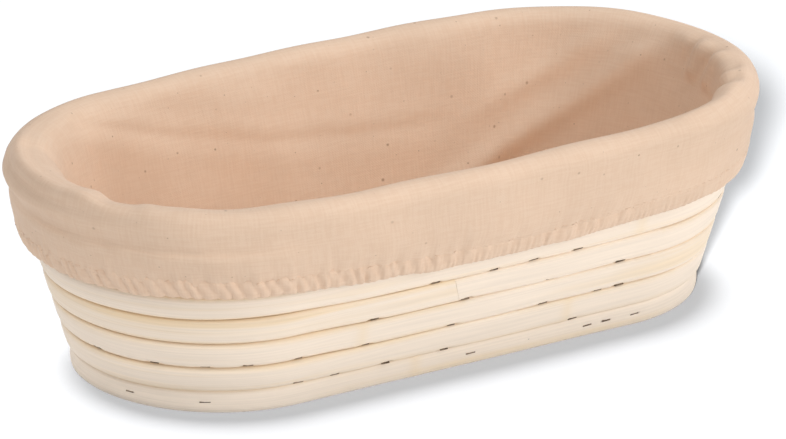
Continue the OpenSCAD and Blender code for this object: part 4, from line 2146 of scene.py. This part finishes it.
@dataclass(frozen=True)
class Studio:
    """Floor, soft light and camera."""

    azimuth: float = math.radians(-32.47)
    elevation: float = math.radians(21.03)
    distance: float = 3.0
    aim_z: float = 0.0352
    lens: float = 405.8
    sensor: float = 36.0
    shift: tuple[float, float] = (0.0079, 0.0011)
    floor_size: float = 16.0
    floor_roughness: float = 0.9
    floor_seen: Colour = (0.173, 0.176, 0.180)
    floor_bounce: Colour = (0.160, 0.160, 0.160)
    ambient: float = 0.15
    ambient_colour: Colour = (0.97, 0.98, 1.0)
    lamps: tuple[LampPlan, ...] = (
        LampPlan("key light", (1.06, -1.47, 1.03), 14.0, 1.0),
        LampPlan("front fill", (0.12, -1.92, 0.62), 8.3, 1.0),
        LampPlan("left fill", (-1.25, -0.25, 1.65), 15.2, 1.0),
        LampPlan("top light", (0.95, 0.35, 1.70), 13.5, 1.0),
        LampPlan("foot shadow", (0.31, 1.20, 1.90), 11.2, math.radians(40), Lit.FLOOR, low=True),
        LampPlan("side shadow", (-1.11, -1.46, 0.74), 23.0, math.radians(4), Lit.FLOOR),
    )

    def place_camera(self) -> None:
        """Adds the camera at the photograph's viewing angle."""
        data = bpy.data.cameras.new("camera")
        data.lens, data.sensor_width = self.lens, self.sensor
        data.shift_x, data.shift_y = self.shift
        camera = bpy.data.objects.new("camera", data)
        level = math.cos(self.elevation)
        side, front = math.sin(self.azimuth) * level, -math.cos(self.azimuth) * level
        back = Vector((side, front, math.sin(self.elevation)))
        camera.location = Vector((0.0, 0.0, self.aim_z)) + back * self.distance
        camera.rotation_mode = "QUATERNION"
        camera.rotation_quaternion = (-back).to_track_quat("-Z", "Y")
        bpy.context.scene.collection.objects.link(camera)
        bpy.context.scene.camera = camera

    def seen_directly(self, bench: NodeBench) -> Socket:
        """Is 1 for what the camera sees, directly or through gloss or glass."""
        path = bench.add("LightPath").outputs
        seen = bench.math("MAXIMUM", path["Is Camera Ray"], path["Is Glossy Ray"])
        return bench.math("MAXIMUM", seen, path["Is Transmission Ray"])

    def lay_floor(self) -> Piece:
        """Adds the floor, which its own lamps make white, and which throws less light back than they would.

        Returns:
            The floor.
        """
        deselect_all()
        bpy.ops.mesh.primitive_plane_add(size=self.floor_size)
        floor = name_piece(bpy.context.object, "floor")
        material = bpy.data.materials.new("pale floor")
        material.use_nodes = True
        bench = NodeBench(material.node_tree)
        colour = bench.mix(self.seen_directly(bench), self.floor_bounce, self.floor_seen)
        shader = bench.add("BsdfPrincipled", Specular_IOR_Level=0.0, Base_Color=colour)
        bench.put(shader, "Roughness", self.floor_roughness)
        bench.add("OutputMaterial", Surface=shader.outputs[0])
        floor.data.materials.append(material)
        return floor

    def add_lamp(self, plan: LampPlan, floor: Piece, low_canes: Sequence[Piece]) -> None:
        """Adds a lamp that shines at the basket, and keeps it off the floor or to the floor alone.

        Args:
            plan: the lamp.
            floor: the floor.
            low_canes: the lowest lengths of cane.
        """
        data = bpy.data.lights.new(plan.name, "AREA" if plan.lit is Lit.OBJECT else "SUN")
        data.energy = plan.power
        if plan.lit is Lit.OBJECT:
            data.shape, data.size = "DISK", plan.softness
        else:
            data.angle = plan.softness
        lamp = bpy.data.objects.new(plan.name, data)
        lamp.location = plan.place
        lamp.rotation_euler = (-Vector(plan.place)).to_track_quat("-Z", "Y").to_euler()
        bpy.context.scene.collection.objects.link(lamp)
        listed = bpy.data.collections.new(plan.name + " list")
        listed.objects.link(floor)
        lamp.light_linking.receiver_collection = listed
        listed.collection_objects[0].light_linking.link_state = plan.lit.value
        if plan.low:
            casting = bpy.data.collections.new(plan.name + " casters")
            for cane in low_canes:
                casting.objects.link(cane)
            lamp.light_linking.blocker_collection = casting

    def light_all_round(self) -> None:
        """Sets the world to soft light, and to white where the camera sees it."""
        world = bpy.data.worlds.new("studio")
        world.use_nodes = True
        bpy.context.scene.world = world
        bench = NodeBench(world.node_tree)
        around = bench.add("Background", Color=self.ambient_colour, Strength=self.ambient)
        white = bench.add("Background", Color=(1.0, 1.0, 1.0), Strength=1.0)
        both = bench.add("MixShader")
        for index, value in enumerate((self.seen_directly(bench), around.outputs[0], white.outputs[0])):
            bench.put(both, index, value)
        bench.add("OutputWorld", Surface=both.outputs[0])

    def build(self, low_canes: Sequence[Piece]) -> None:
        """Sets the studio up.

        Args:
            low_canes: lengths of cane that cast the shadow round the foot.
        """
        self.place_camera()
        floor = self.lay_floor()
        self.light_all_round()
        for plan in self.lamps:
            self.add_lamp(plan, floor, low_canes)
        bpy.context.scene.view_settings.view_transform = "Standard"


def corners(box: tuple[Vector, Vector]) -> list[list[float]]:
    """A box's two corners as plain lists."""
    return [[float(number) for number in corner] for corner in box]


def main() -> None:
    """Builds the basket, its liner and the studio, and reports each piece."""
    logging.basicConfig(level=logging.INFO, format="%(name)s: %(message)s")
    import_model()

    path = CanePath()
    coil = CaneCoil(path, StaplePlan(path), CaneFinish())
    canes = coil.build()
    staples = Staples(coil, WireFinish()).build()
    hem_cloth = ClothFinish(name="gathered cotton", cotton=(0.805, 0.600, 0.450), relief=0.02)
    liner = Liner(LinerSection(path), Hem(path), ClothFinish(), hem_cloth, ThreadFinish())
    cloth = liner.build([canes[0], canes[-1]])
    for piece in (*canes, *staples, *cloth):
        LOG.info("%s: %d faces", piece.name, len(piece.data.polygons))

    Studio().build(canes[:2])
    bpy.context.view_layer.update()


if __name__ == "__main__":
    main()
